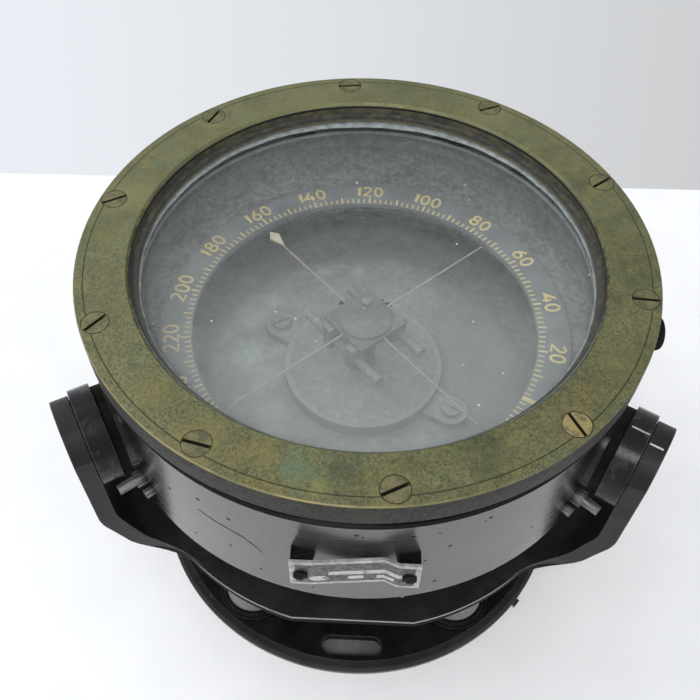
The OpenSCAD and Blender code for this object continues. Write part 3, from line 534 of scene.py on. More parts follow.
def plain_brass():
    """Brass under the liquid: dull yellow-grey with brown stains."""
    s = Shader("plain_brass", Metallic=0.6)
    mid = s.noise(3, 4, 0.6)
    s.colour = s.tones(mid, 0.35, 0.65, (0.17, 0.14, 0.07), (0.36, 0.29, 0.14))
    s.coat(s.ramp(s.noise(7), 0.52, 0.7, 0, 0.7), (0.12, 0.13, 0.09))
    s.roughen(s.noise(0.8), 0.34, 0.52)
    s.bump(mid, 0.04, 0.4, s.edge(0.15)[0])
    return s.done()


def dull_steel():
    """Mottled steel with brown spots and bright edges."""
    s = Shader("dull_steel", Metallic=0.75)
    mottle = s.noise(0.8, 4, 0.65)
    s.colour = s.tones(mottle, 0.32, 0.68, (0.12, 0.12, 0.118), (0.34, 0.34, 0.33))
    rust = s.ramp(s.noise(2.4, 5, 0.65), 0.56, 0.7, 0, 0.8)
    s.coat(rust, (0.075, 0.052, 0.034))
    normal, rim = s.edge(0.15)
    s.coat(rim, (0.5, 0.5, 0.48), 0.6)
    s.set("Roughness", s.plus(s.spread(mottle, 0.28, 0.42), s.times(rust, 0.3)))
    s.bump(s.plus(mottle, s.times(rust, 0.5)), 0.05, 0.5, normal)
    return s.done()


def pin_steel():
    """Pins that stand out from the wall: grey steel with lines along them, and grime by the wall."""
    s = Shader("pin_steel", Metallic=0.5)
    lines = s.noise(1, 3, 0.6, s.around(95, 0.12, 1.4))
    s.colour = s.tones(lines, 0.34, 0.6, (0.06, 0.058, 0.053), (0.27, 0.27, 0.258))
    s.coat(s.ramp(s.r, WALL_R + 1.6, WALL_R + 0.2, 0, 0.75), (0.06, 0.056, 0.046))
    s.roughen(lines, 0.5, 0.36)
    s.bump(lines, 0.06, 0.5, s.edge(0.15)[0])
    return s.done()


def rubber(name, dark, light, rough, dust, wet=None):
    """Rubber: matt skin with chalky patches and small cracks. Wet is its colour inside the chamber."""
    s = Shader(name, IOR=1.45)
    skin = s.noise(0.35, 3, 0.6)
    s.colour = s.tones(s.noise(6, 5, 0.6), 0.42, 0.68, dark, light)
    crack = s.times(s.ramp(s.cells(3.4, "DISTANCE_TO_EDGE"), 0.05, 0.012),
                    s.ramp(s.noise(9), 0.52, 0.62))
    s.coat(crack, darker(dark, 0.3), 0.8)
    s.coat(s.ramp(s.up(), 0.5, 1), dust, 0.3)
    if wet:
        s.coat(s.ramp(s.r, CHAMBER_R + 0.5, CHAMBER_R + 0.2), wet)
    s.roughen(skin, rough - 0.1, rough + 0.1)
    s.bump(s.minus(skin, crack), 0.05, 0.45, s.edge(0.3)[0])
    return s.done()


def gasket_rubber():
    """Upper gasket: black rubber with olive-brown crust on the side that shows."""
    s = Shader("gasket_rubber", IOR=1.45)
    crust = s.ramp(s.noise(2.6, 5, 0.65, s.around(60, 1, 1.4)), 0.42, 0.66)
    low = s.ramp(s.z, GLASS_TOP + 1.1, GLASS_TOP + 0.3)
    s.colour = s.mix(s.times(crust, 0.8), (0.05, 0.049, 0.045), (0.105, 0.1, 0.072))
    s.coat(low, (0.175, 0.165, 0.09), 0.8)
    s.set("Roughness", s.ramp(crust, 0, 1, 0.45, 0.75))
    s.bump(crust, 0.15, 0.6)
    return s.done()


def sealant():
    """Old sealant round the glass: pale grey with a soft crust."""
    s = Shader("sealant", IOR=1.45)
    crust = s.noise(3.2, 5, 0.6)
    s.colour = s.tones(crust, 0.35, 0.65, (0.19, 0.212, 0.204), (0.305, 0.34, 0.33))
    s.set("Specular IOR Level", 0.2)
    s.roughen(crust, 0.55, 0.8)
    s.bump(crust, 0.06, 0.3)
    return s.done()


def clear_glass():
    """Cover glass: a top that mirrors more at grazing angles, and a milky film with flecks under it."""
    s = Shader("clear_glass")
    top = s.ramp(s.z, GLASS_LOW + 1, GLASS_TOP - 1)
    fresnel = s.node("Fresnel", {"IOR": 1.45}).outputs[0]
    outer = s.minus(1, s.node("NewGeometry").outputs["Backfacing"])
    smear = s.ramp(s.noise(14, 4, 0.6, s.stretch(1, 2.2, 1)), 0.45, 0.75, 0, 0.018)
    mirror = s.times(s.plus(s.times(fresnel, 0.6), smear), outer)
    flecks = s.times(s.ramp(s.cells(6.4), 0.06, 0.032), s.ramp(s.noise(21), 0.41, 0.5), 0.8)
    milk = s.plus(s.ramp(s.y, *GLASS_MILK_Y, 0.085, 0.29),
                  s.ramp(s.noise(15, 5, 0.65, warp=0.8), 0.4, 0.75, -0.012, 0.02),
                  s.ramp(s.noise(3.6, 5, 0.7), 0.35, 0.7, -0.016, 0.018))
    s.colour = s.mix(flecks, (0.56, 0.6, 0.572), (0.84, 0.86, 0.85))
    s.coat(top, (0.92, 0.95, 0.96))
    s.set("Metallic", top)
    s.set("Alpha", s.blend(top, s.most(milk, flecks), mirror))
    s.set("Roughness", s.blend(top, 0.8, s.ramp(s.noise(3, 4), 0.35, 0.7, 0.03, 0.14)))
    return s.done()


def dial_paint():
    """Dial ring: matt blue-grey paint, faded towards its outer edge."""
    s = Shader("dial_paint", IOR=1.45)
    s.colour = s.tones(s.noise(8, 5, 0.6), 0.35, 0.68, (0.178, 0.193, 0.198), (0.23, 0.249, 0.255))
    faded = s.times(s.ramp(s.r, DIAL_RO - 2.2, DIAL_RO), s.ramp(s.noise(3, 4), 0.4, 0.65))
    s.coat(faded, (0.165, 0.178, 0.182), 0.7)
    s.roughen(s.noise(1, 3), 0.55, 0.72)
    s.bump(s.noise(0.6, 3), 0.03, 0.4)
    return s.done()


def figure_paint(name, light, dark, gone):
    """Painted figures and lines: thick old paint, thinner and darker in spots."""
    s = Shader(name, IOR=1.45)
    s.colour = s.tones(s.noise(4, 3), 0.35, 0.65, light, dark)
    thin = s.ramp(s.noise(1.1, 4, 0.65), 0.52, 0.75)
    s.coat(thin, darker(dark, 0.35), gone)
    s.roughen(s.noise(0.5), 0.55, 0.75)
    s.bump(s.noise(0.35, 3), 0.03, 0.5)
    return s.done()


def drowned_grey(name, dark, light, deposit):
    """Grey paint under the liquid, with pale green-white deposits, dark stains, and a painted highlight of
    deposit colour along the edges.
    """
    s = Shader(name, IOR=1.4)
    s.colour = s.tones(s.noise(6, 5, 0.6), 0.34, 0.68, dark, light)
    chalk = s.ramp(s.noise(9, 6, 0.7, warp=1.2), 0.56, 0.7, 0, 0.8)
    s.coat(chalk, deposit)
    s.coat(s.ramp(s.noise(1.2, 5, 0.75), 0.52, 0.4, 0, 0.5), darker(dark, 0.6))
    s.coat(s.ramp(s.noise(3.2, 4), 0.6, 0.74, 0, 0.7), darker(dark, 0.35))
    normal, rim = s.edge(0.25)
    # Painted highlight: the deposit colour laid along the edges.
    s.coat(rim, deposit, 0.45)
    s.roughen(s.noise(0.9), 0.5, 0.7)
    s.bump(s.plus(s.noise(0.8, 3), chalk), 0.06, 0.5, normal)
    return s.done()


def chamber_floor():
    """Bottom cover: black outside, hazy grey inside with deposits; painted shade at the right, painted
    shadow of the dial past its inner edge, and painted shadow with dirt round the foot and its ears.
    """
    s = Shader("chamber_floor", IOR=1.4)
    mid = s.noise(7, 5, 0.6)
    fine = s.noise(1.6, 5, 0.75)
    s.colour = s.tones(mid, 0.34, 0.68, (0.221, 0.237, 0.23), (0.287, 0.307, 0.297))
    s.coat(s.ramp(fine, 0.51, 0.4, 0, 0.32), (0.157, 0.168, 0.158))
    s.coat(s.ramp(fine, 0.51, 0.62, 0, 0.32), (0.37, 0.408, 0.389))
    lumps = s.plus(s.noise(3.4, 5, 0.7, warp=0.6), fine)
    speckle = s.ramp(fine, 0.38, 0.6, 0.45, 1)
    chalk = s.ramp(s.noise(19, 5, 0.68), 0.5, 0.68, 0, 0.35)
    for az, reach, size, much in FLOOR_CHALK:
        spot = s.spot(az, reach, size, lumps, 3.2, 4.8, 3.5)
        chalk = s.most(chalk, s.times(spot, speckle, much))
    s.coat(chalk, (0.465, 0.551, 0.513))
    # Painted shade towards the right of the floor.
    s.coat(s.ramp(s.x, *FLOOR_SHADE_X, 0, 0.78), (0.169, 0.181, 0.173))
    # Painted shadow, with dirt, round the foot and its ears.
    dirt = s.ramp(s.r, FOOT_R + 3.6, FOOT_R + 0.2)
    for az in EAR_AZ:
        dirt = s.most(dirt, s.ramp(s.off_axis(az, EAR_REACH), EAR_R + 2.6, EAR_R + 0.2))
    s.coat(dirt, (0.2, 0.214, 0.204), 0.55)
    # Painted shadow of the dial, on the floor beyond its inner edge.
    outer = s.ramp(s.plus(s.r, s.times(s.noise(9, 4), 5)), *FLOOR_DIAL_SHADOW_R)
    wrinkle = s.noise(2.2, 3, 0.55, warp=0.7)
    s.coat(outer, s.tones(wrinkle, 0.36, 0.66, (0.126, 0.136, 0.131), (0.184, 0.196, 0.19)))
    inside = s.times(s.ramp(s.r, CHAMBER_R + 0.4, CHAMBER_R),
                     s.ramp(s.z, FLOOR_TOP - 0.4, FLOOR_TOP - 0.1))
    skin = s.tones(s.noise(8, 4), 0.35, 0.7, (0.009, 0.009, 0.01), (0.024, 0.024, 0.025))
    s.colour = s.mix(inside, skin, s.colour)
    s.set("Roughness", s.blend(inside, s.spread(mid, 0.36, 0.5), 0.65))
    s.bump(s.plus(wrinkle, chalk), 0.08, 0.5, s.edge(0.3)[0])
    return s.done()


def foot_paint():
    """Pivot's foot: hazy grey with fine grain and stains, a painted highlight round the edges of the disc
    and the ears, and plain painted shade down its side.
    """
    s = Shader("foot_paint", IOR=1.4)
    s.colour = s.tones(s.noise(5, 5, 0.6), 0.34, 0.68, (0.212, 0.227, 0.217), (0.257, 0.274, 0.261))
    fine = s.noise(1.5, 5, 0.75)
    s.coat(s.ramp(fine, 0.52, 0.4, 0, 0.45), (0.152, 0.162, 0.148))
    s.coat(s.ramp(fine, 0.51, 0.62, 0, 0.35), (0.323, 0.351, 0.334))
    s.coat(s.ramp(s.noise(4.5, 5, 0.65), 0.54, 0.68, 0, 0.4), (0.169, 0.175, 0.156))
    s.coat(s.ramp(s.noise(3, 4), 0.58, 0.72, 0, 0.6), (0.327, 0.357, 0.342))
    # Painted highlight round the edge of the disc and of each ear.
    rim_highlight = s.near(s.r, FOOT_R - 0.8, 0.7, 0.4)
    for az in EAR_AZ:
        rim_highlight = s.most(rim_highlight, s.near(s.off_axis(az, EAR_REACH), EAR_R - 0.5, 0.4, 0.3))
    s.coat(rim_highlight, (0.313, 0.336, 0.322), 0.35)
    # Painted shade: the side is painted a plain, slightly darker grey.
    s.coat(s.ramp(s.up(), 0.6, 0.2), (0.216, 0.231, 0.22), 0.85)
    s.roughen(s.noise(0.9), 0.5, 0.7)
    s.bump(s.noise(0.8, 3), 0.06, 0.5, s.edge(0.3)[0])
    return s.done()


def plate_metal():
    """Nameplate: bright border, and a grey stained field with worn panels that carry nothing."""
    s = Shader("plate_metal", Metallic=0.55)
    up = s.minus(s.z, PLATE_MID_Z)
    field = s.times(s.near(s.x, 0, PLATE_FIELD_HALF, 0.25),
                    s.near(up, 0, PLATE_H / 2 - PLATE_BORDER, 0.2))
    s.colour = s.tones(s.noise(2.5, 5, 0.6), 0.34, 0.68, (0.3, 0.3, 0.29), (0.56, 0.56, 0.545))
    stained = s.tones(s.noise(1.3, 4, 0.65), 0.34, 0.66, (0.055, 0.055, 0.054), (0.15, 0.15, 0.146))
    s.coat(field, stained)
    panels = [s.times(s.near(s.x, across, half_w, 0.15), s.near(up, rise, half_h, 0.15))
              for across, rise, half_w, half_h in PLATE_PANELS]
    across, rise, half_w, half_h = PLATE_OVAL
    oval_x = s.math("DIVIDE", s.minus(s.x, across), half_w)
    oval_z = s.math("DIVIDE", s.minus(up, rise), half_h)
    oval = s.ramp(s.plus(s.times(oval_x, oval_x), s.times(oval_z, oval_z)), 1.1, 0.9)
    blank = s.most(*panels, oval)
    s.coat(s.times(blank, field, s.ramp(s.noise(1.6, 4), 0.28, 0.5)), (0.52, 0.52, 0.5))
    normal, rim = s.edge(0.2)
    s.coat(rim, (0.62, 0.62, 0.6), 0.6)
    s.roughen(s.noise(0.8, 4), 0.36, 0.58)
    s.bump(s.plus(s.noise(2.2, 3), s.times(blank, 0.6)), 0.1, 0.5, normal)
    return s.done()


def bare_mark():
    """Dark bare metal where the paint has gone."""
    s = Shader("bare_mark", Roughness=0.85)
    s.colour = s.tones(s.noise(0.6, 3), 0.35, 0.65, (0.006, 0.005, 0.004), (0.03, 0.026, 0.02))
    s.bump(s.noise(0.3), 0.05, 0.6)
    return s.done()


MATS = {
    "bowl_shell": bowl_paint(),
    "bezel_ring": old_brass(),
    "bezel_screws": screw_brass(),
    "cover_glass": clear_glass(),
    "upper_gasket": gasket_rubber(),
    "dial_ring": dial_paint(),
    "nameplate": plate_metal(),
    "bottom_cover": chamber_floor(),
    "pivot_base": foot_paint(),
}
ENAMEL = black_enamel("arm_enamel", (0.012, 0.012, 0.012), (0.024, 0.024, 0.025),
                      wear=0.6, dust=0.05, rough=0.46, gloss=0.24, edge_z=SPIDER_TOP)
# Darker, duller enamel; on the mount necks its darkness is painted shade in the gap between cup and bowl.
NECK_ENAMEL = black_enamel("neck_enamel", (0.006, 0.005, 0.004), (0.018, 0.015, 0.012),
                           wear=0.2, dust=0, rough=0.65, gloss=0.05)
BASE_ENAMEL = black_enamel("base_enamel", (0.004, 0.004, 0.0045), (0.01, 0.01, 0.01),
                           wear=0.5, dust=0.03, rough=0.33, gloss=0.16, rim_r=BASE_RIM_R)
MOUNT_ENAMEL = black_enamel("mount_enamel", (0.005, 0.005, 0.006), (0.011, 0.011, 0.012),
                            wear=0.6, dust=0.03, rough=0.21, gloss=0.24, scuff=0.32)
RUBBER_LOOK = ((0.016, 0.016, 0.016), (0.032, 0.031, 0.03), 0.7, (0.07, 0.068, 0.06))
BLACK_RUBBER = rubber("black_rubber", *RUBBER_LOOK)
FLOOR_RUBBER = rubber("floor_rubber", *RUBBER_LOOK, wet=(0.16, 0.17, 0.165))
# Pale rubber for the lower gasket, painted light: under the glass's rim it lies in shade.
PALE_LIT_RUBBER = rubber("pale_lit_rubber", (0.29, 0.31, 0.31), (0.37, 0.39, 0.39), 0.7, (0.34, 0.36, 0.36))
POST_RUBBER = rubber("post_rubber", (0.185, 0.188, 0.192), (0.225, 0.228, 0.231), 0.72,
                     (0.22, 0.215, 0.205))
STEEL = dull_steel()
PIN_STEEL = pin_steel()
BRASS = plain_brass()
FOOT_GREY = drowned_grey("foot_grey", (0.21, 0.224, 0.215), (0.272, 0.289, 0.277), (0.342, 0.369, 0.354))
MAGNET_GREY = drowned_grey("magnet_grey", (0.176, 0.186, 0.171), (0.23, 0.243, 0.226), (0.28, 0.3, 0.28))
PLATE_GREY = drowned_grey("plate_grey", (0.111, 0.119, 0.109), (0.147, 0.157, 0.146),
                          (0.199, 0.215, 0.199))
ORANGE = figure_paint("orange_paint", (0.375, 0.315, 0.225), (0.31, 0.255, 0.175), 0.24)
PALE_TIP = figure_paint("tip_paint", (0.66, 0.6, 0.46), (0.52, 0.43, 0.3), 0.54)
WHITE = figure_paint("white_paint", (0.37, 0.395, 0.385), (0.28, 0.3, 0.293), 0.3)
CREAM = figure_paint("cream_paint", (0.8, 0.67, 0.3), (0.68, 0.56, 0.24), 0.045)
CHALK = figure_paint("index_paint", (0.7, 0.68, 0.6), (0.5, 0.47, 0.38), 0.6)
GROUPS = [
    (ENAMEL, "spider"),
    (BASE_ENAMEL, "base_flange"),
    (MOUNT_ENAMEL, "mount_cup_right mount_cup_rear mount_cup_left"),
    (NECK_ENAMEL, "post_feet post_heads mount_necks nameplate_screws nameplate_lugs"),
    (NECK_ENAMEL, "filler_plug corrector_box"),
    (BLACK_RUBBER, "rubber_bush_right rubber_bush_rear rubber_bush_left filler_washer"),
    (FLOOR_RUBBER, "bottom_gasket"),
    (PALE_LIT_RUBBER, "lower_gasket"),
    (POST_RUBBER, "rubber_posts"),
    (STEEL, "base_screws spider_screws eye_stud_right eye_stud_rear eye_stud_left"),
    (STEEL, "bottom_screws corrector_screws corrector_magnets mount_bolts pivot_pin"),
    (PIN_STEEL, "anchor_pins anchor_screws"),
    (BRASS, "expansion_diaphragm dial_rivets"),
    (FOOT_GREY, "pivot_base_screws"),
    (MAGNET_GREY, "bar_magnets magnet_clips balance_weight jewel_cup pivot_post"),
    (PLATE_GREY, "magnet_plate cap_disc"),
    (ORANGE, "north_filament tail_filament"),
    (PALE_TIP, "north_tip"),
    (WHITE, "cross_filaments"),
]
for mat, names in GROUPS:
    MATS.update(dict.fromkeys(names.split(), mat))
for name, obj in NODES.items():
    obj.data.materials.clear()
    obj.data.materials.append(MATS[name])


# Pieces made here

def arc(cx, cy, rx, ry, start, end, n=14):
    """Points along part of an ellipse, between two angles in degrees."""
    turns = [radians(start + (end - start) * i / n) for i in range(n + 1)]
    return [(cx + rx * cos(t), cy + ry * sin(t)) for t in turns]


# Strokes of the figures on a box one unit high: width of the figure, then paths that are open or closed
FIGURES = {
    "0": (0.66, [(arc(0.33, 0.5, 0.25, 0.42, 0, 342, 19), True)]),
    "1": (0.34, [([(0.04, 0.76), (0.19, 0.92), (0.19, 0.08)], False)]),
    "2": (0.62, [(arc(0.3, 0.69, 0.22, 0.23, 165, -35) + [(0.07, 0.08), (0.57, 0.08)], False)]),
    "3": (0.6, [(arc(0.28, 0.71, 0.2, 0.21, 150, -80), False),
                (arc(0.28, 0.3, 0.23, 0.22, 85, -150), False)]),
    "4": (0.7, [([(0.66, 0.3), (0.05, 0.3), (0.42, 0.94)], False),
                ([(0.5, 0.58), (0.5, 0.06)], False)]),
    "6": (0.68, [(arc(0.34, 0.32, 0.26, 0.25, 0, 336, 15), True),
                 ([(0.5, 0.94), (0.28, 0.72), (0.1, 0.42)], False)]),
    "8": (0.68, [(arc(0.34, 0.72, 0.21, 0.205, 0, 336, 15), True),
                 (arc(0.34, 0.29, 0.26, 0.225, 0, 336, 15), True)]),
}
FIGURE_EVERY = 20
FIGURE_H = 4.8
FIGURE_GAP = 0.1
FIGURE_STROKE = 0.385
FIGURE_R = DIAL_RI + 3.35
# Least cosine that widens a corner of a strip
MITRE_LEAST = 0.3
# Paint's underside and top over what it lies on, and how much higher a second stroke lies
PAINT_LOW = 0.005
PAINT_HIGH = 0.05
STROKE_LOW = 0.01
STROKE_HIGH = 0.02
# Ticks: length and half width of a plain one, of one at each ten degrees and of the one at zero
TICK = (1.75, 0.22)
TICK_TEN = (2.6, 0.28)
TICK_ZERO = (4.4, 0.75)
TICK_EVERY = 2
TICK_R = DIAL_RI + 0.35
TICK_JITTER = 0.12
# Sealant: half width in front, what the back adds and how steeply, waves, height, and the gasket beside it
SEALANT_STEPS = 240
SEALANT_HALF = 0.34
SEALANT_RISE = 1.2
SEALANT_BACK = 1.1
SEALANT_SWELL = 0.12
SEALANT_SWELLS = 5
SEALANT_WAVE = 0.05
SEALANT_WAVE_STEP = 0.61
SEALANT_JITTER = 0.03
SEALANT_HIGH = 0.12
GASKET_SHOW = 1.4
# Marks on the wall: a long crack by azimuth and height, and chips by azimuth, height and size
CRACK = [
    (-121, 96.6), (-118.9, 95.9), (-116.1, 95.3), (-113, 94.6),
    (-111.3, 94), (-109.3, 91.9), (-107.6, 89.4),
]
CRACK_STEPS = 4
CRACK_HALF = 0.09
CRACK_SWELL = 0.1
CRACK_JITTER = 0.12
CRACK_LOW = 0.01
CHIPS = [
    (-120.4, 102.3, 0.75), (-113.8, 100.6, 0.7), (-114.8, 85.5, 0.5), (-108.6, 79.2, 0.5),
    (-90, 108, 0.8), (-88.9, 107.1, 0.5), (-80.1, 106.5, 0.75), (-77.2, 92.5, 0.45),
    (-75.4, 106.1, 0.4), (-72.9, 98, 0.6), (-65.9, 106.9, 0.7), (-74.4, 78.9, 0.7),
    (-123.8, 79.7, 0.5), (-128.5, 96, 0.55), (-66.9, 106, 0.4), (-54, 88, 0.5),
    (-98, 76.5, 0.4), (45, 98, 0.6), (62, 83, 0.7), (120, 101, 0.6),
    (140, 88, 0.8), (175, 95, 0.6), (15, 84, 0.5),
]
CHIP_CORNERS = 11
CHIP_LEAST = 0.45
CHIP_SQUASH = 0.7
MARK_HIGH = 0.04
# White lines on the right mount: piece, body, radius, degrees from the top, start and end along the arm
INDEX_LINES = [
    ("cup_index", "bowl", 13.2, 2, 77.9, 82.4),
    ("eye_index", "stand", 12, 9, 83.4, 86.9),
]
INDEX_STEPS = 8
INDEX_HALF = 0.26
INDEX_TAPER = 0.08
INDEX_JITTER = 0.03


def add_object(name, data):
    obj = bpy.data.objects.new(name, data)
    bpy.context.collection.objects.link(obj)
    return obj


def add_piece(name, bm, mat, body, smooth=False):
    """Make a piece of the object. It rides on a body, or on none if none is given."""
    mesh = bpy.data.meshes.new(name)
    bmesh.ops.recalc_face_normals(bm, faces=bm.faces)
    bm.to_mesh(mesh)
    bm.free()
    for face in mesh.polygons:
        face.use_smooth = smooth
    mesh.materials.append(mat)
    obj = add_object(name, mesh)
    if body:
        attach(obj, body)
    return obj


def join(bm, a, b):
    """Faces between two rings of as many points."""
    for i in range(len(a)):
        j = (i + 1) % len(a)
        bm.faces.new((a[i], a[j], b[j], b[i]))


def band(bm, path, half, low, high, place, closed=False):
    """A flat strip along a path of (x, y) points, as a thin closed solid between two levels."""
    points = [Vector(p) for p in path]
    n = len(points)
    rings = []
    for i, p in enumerate(points):
        before = points[i - 1] if closed or i else p
        after = points[(i + 1) % n] if closed or i < n - 1 else p
        run = (after - before).normalized()
        side = Vector((-run.y, run.x))
        bend = 1
        if before is not p and after is not p:
            bend = 1 / max(MITRE_LEAST, abs((p - before).normalized().dot(run)))
        width = half(i / max(1, n - 1)) if callable(half) else half
        left, right = p + side * width * bend, p - side * width * bend
        rings.append([bm.verts.new(place(q.x, q.y, level)) for level, q in
                      ((low, left), (low, right), (high, right), (high, left))])
    following = rings[1:] + rings[:1] if closed else rings[1:]
    for a, b in zip(rings, following):
        join(bm, a, b)
    if not closed:
        bm.faces.new(rings[0][::-1])
        bm.faces.new(rings[-1])


def flat(x, y, z):
    """Scene point for a place in mm."""
    return Vector((x, y, z)) * MM


def on_wall(x, y, out):
    """Scene point that stands out from the wall, at a length x round it and a height y."""
    a = x / WALL_R
    r = WALL_R + out
    return flat(r * cos(a), r * sin(a), y)


def wall_point(az, z):
    """Length round the wall and height, for an azimuth in degrees and a height."""
    return (radians(az) * WALL_R, z)


def dial_place(az, r):
    """Turn flat figure coordinates to the dial: y outwards from radius r, x clockwise."""
    a = radians(az)
    out, side = Vector((cos(a), sin(a))), Vector((sin(a), -cos(a)))
    return lambda x, y, z: flat(*(out * (r + y) + side * x), DIAL_TOP + z)


def dial_figures():
    """Plain degrees painted round the dial, upright when seen from its middle."""
    bm = bmesh.new()
    for value in range(FIGURE_EVERY, 360, FIGURE_EVERY):
        digits = str(value)
        width = sum(FIGURES[d][0] for d in digits) + FIGURE_GAP * (len(digits) - 1)
        place = dial_place(DIAL_ZERO_AZ + value, FIGURE_R)
        x = -width / 2
        for d in digits:
            for k, (path, closed) in enumerate(FIGURES[d][1]):
                points = [((x + px) * FIGURE_H, py * FIGURE_H) for px, py in path]
                low, high = PAINT_LOW + STROKE_LOW * k, PAINT_HIGH + STROKE_HIGH * k
                band(bm, points, FIGURE_STROKE, low, high, place, closed)
            x += FIGURES[d][0] + FIGURE_GAP
    add_piece("dial_figures", bm, CREAM, "bowl")


def dial_ticks():
    """Ticks along the dial's inner edge."""
    bm = bmesh.new()
    for deg in range(0, 360, TICK_EVERY):
        length, half = TICK_TEN if deg % 10 == 0 else TICK
        if deg == 0:
            length, half = TICK_ZERO
        end = length + RNG.uniform(-TICK_JITTER, TICK_JITTER)
        place = dial_place(DIAL_ZERO_AZ + deg, TICK_R)
        band(bm, [(0, 0), (0, end)], half, PAINT_LOW, PAINT_HIGH, place)
    add_piece("dial_ticks", bm, CREAM, "bowl")


def glass_line():
    """Pale line of old sealant where the glass meets its gasket, wider at the back."""
    bm = bmesh.new()
    path, halves = [], []
    for i in range(SEALANT_STEPS):
        a = 2 * pi * i / SEALANT_STEPS
        back = max(0, sin(a)) ** SEALANT_RISE
        half = SEALANT_HALF + SEALANT_BACK * back + SEALANT_SWELL * back * sin(SEALANT_SWELLS * a)
        half += SEALANT_WAVE * sin(i * SEALANT_WAVE_STEP)
        half += RNG.uniform(-SEALANT_JITTER, SEALANT_JITTER)
        r = OPENING_R - GASKET_SHOW - half
        path.append((r * cos(a), r * sin(a)))
        halves.append(half)

    def half_at(t):
        return halves[round(t * (SEALANT_STEPS - 1))]

    band(bm, path, half_at, GLASS_TOP + PAINT_LOW, GLASS_TOP + SEALANT_HIGH, flat, True)
    add_piece("glass_sealant", bm, sealant(), "bowl", True)


def wall_marks():
    """Crack and chips, as thin dark films on the wall."""
    bm = bmesh.new()
    fine = []
    for (a0, z0), (a1, z1) in zip(CRACK, CRACK[1:]):
        for k in range(CRACK_STEPS):
            t = k / CRACK_STEPS
            z = z0 + (z1 - z0) * t + RNG.uniform(-CRACK_JITTER, CRACK_JITTER)
            fine.append(wall_point(a0 + (a1 - a0) * t, z))
    fine.append(wall_point(*CRACK[-1]))
    band(bm, fine, lambda t: CRACK_HALF + CRACK_SWELL * sin(pi * t), CRACK_LOW, MARK_HIGH, on_wall)
    for az, z, size in CHIPS:
        cx, cz = wall_point(az, z)
        ring = []
        for i in range(CHIP_CORNERS):
            t = 2 * pi * i / CHIP_CORNERS
            x = cx + size * RNG.uniform(CHIP_LEAST, 1) * cos(t)
            y = cz + CHIP_SQUASH * size * RNG.uniform(CHIP_LEAST, 1) * sin(t)
            ring.append((x, y))
        top = [bm.verts.new(on_wall(x, y, MARK_HIGH)) for x, y in ring]
        low = [bm.verts.new(on_wall(x, y, PAINT_LOW)) for x, y in ring]
        bm.faces.new(top)
        bm.faces.new(low[::-1])
        join(bm, low, top)
    add_piece("wall_marks", bm, bare_mark(), "bowl")


def arm_axes(az):
    """Level directions of an arm at the given azimuth: outwards, and across to its left."""
    a = radians(az)
    return Vector((cos(a), sin(a), 0)), Vector((-sin(a), cos(a), 0))


def turned(bm, az, profile, n=40):
    """Turn a closed profile of (radius, distance out) points round an arm's level axis."""
    out, side = arm_axes(az)
    rings = []
    for r, depth in profile:
        ring = []
        for i in range(n):
            t = 2 * pi * i / n
            rise = UP * (MOUNT_Z + r * sin(t))
            ring.append(bm.verts.new((out * depth + side * r * cos(t) + rise) * MM))
        rings.append(ring)
    for ring_a, ring_b in zip(rings, rings[1:] + rings[:1]):
        join(bm, ring_a, ring_b)


def mount_washers():
    """Thin rubber washers between each cup and the arm's eye beside it."""
    bm = bmesh.new()
    near, far = CUP_OUT + WASHER_GAP, EYE_IN - WASHER_GAP
    for az in ARMS.values():
        turned(bm, az, [(WASHER_R, near), (WASHER_R, far), (WASHER_BORE, far), (WASHER_BORE, near)])
    add_piece("mount_washers", bm, BLACK_RUBBER, "stand")


def lipped(bore, outer, near, far):
    """Profile of a rubber collar whose corners are cut off."""
    c = BUSH_LIP
    return [(outer, near + c), (outer, far - c), (outer - c, far), (bore + c, far),
            (bore, far - c), (bore, near + c), (bore + c, near), (outer - c, near)]


def bush_web(name, az, sign, near, far):
    """One web of a bush, from the sleeve to the ring, on no body."""
    out, side = arm_axes(az)
    across = side * sign
    centre = UP * MOUNT_Z
    start, end = SLEEVE_R - WEB_FOOT, RING_BORE + WEB_FOOT
    bm = bmesh.new()

    def place(x, y, depth):
        return (centre + across * x + UP * y + out * depth) * MM

    path = [(start + (end - start) * i / WEB_STEPS, 0) for i in range(WEB_STEPS + 1)]
    band(bm, path, WEB_HALF_H, near + WEB_INSET, far - WEB_INSET, place)
    web = add_piece(name, bm, BLACK_RUBBER, None)
    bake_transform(web)


def rubber_bushes():
    """Bushes with room above and below the sleeve, so that the bowl can float."""
    low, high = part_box("rubber_bush_rear")
    near, far = low.y / MM, high.y / MM
    outer = (high.x - low.x) / 2 / MM
    for arm, az in ARMS.items():
        bm = bmesh.new()
        turned(bm, az, lipped(RING_BORE, outer, near, far))
        ring = add_piece(f"bush_ring_{arm}", bm, BLACK_RUBBER, "bowl")
        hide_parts(f"rubber_bush_{arm}")
        bm = bmesh.new()
        turned(bm, az, lipped(STUD_R + BUSH_FIT, SLEEVE_R, near, far))
        add_piece(f"bush_sleeve_{arm}", bm, BLACK_RUBBER, "stand")
        for hand, sign in (("a", 1), ("b", -1)):
            bush_web(f"bush_web_{arm}_{hand}", az, sign, near, far)


def index_marks():
    """White lines painted across the right mount's cup and the arm's eye beside it."""
    out, side = arm_axes(ARM_RIGHT)
    for name, body, radius, phi, start, end in INDEX_LINES:
        bm = bmesh.new()

        def place(x, y, lift):
            t = radians(phi) + x / radius
            around = UP * cos(t) - side * sin(t)
            return (out * y + UP * MOUNT_Z + around * (radius + lift)) * MM

        path = [(RNG.uniform(-INDEX_JITTER, INDEX_JITTER), start + (end - start) * i / INDEX_STEPS)
                for i in range(INDEX_STEPS + 1)]
        band(bm, path, lambda t: INDEX_HALF - INDEX_TAPER * abs(t - 0.5), PAINT_LOW, PAINT_HIGH, place)
        add_piece(name, bm, CHALK, body)


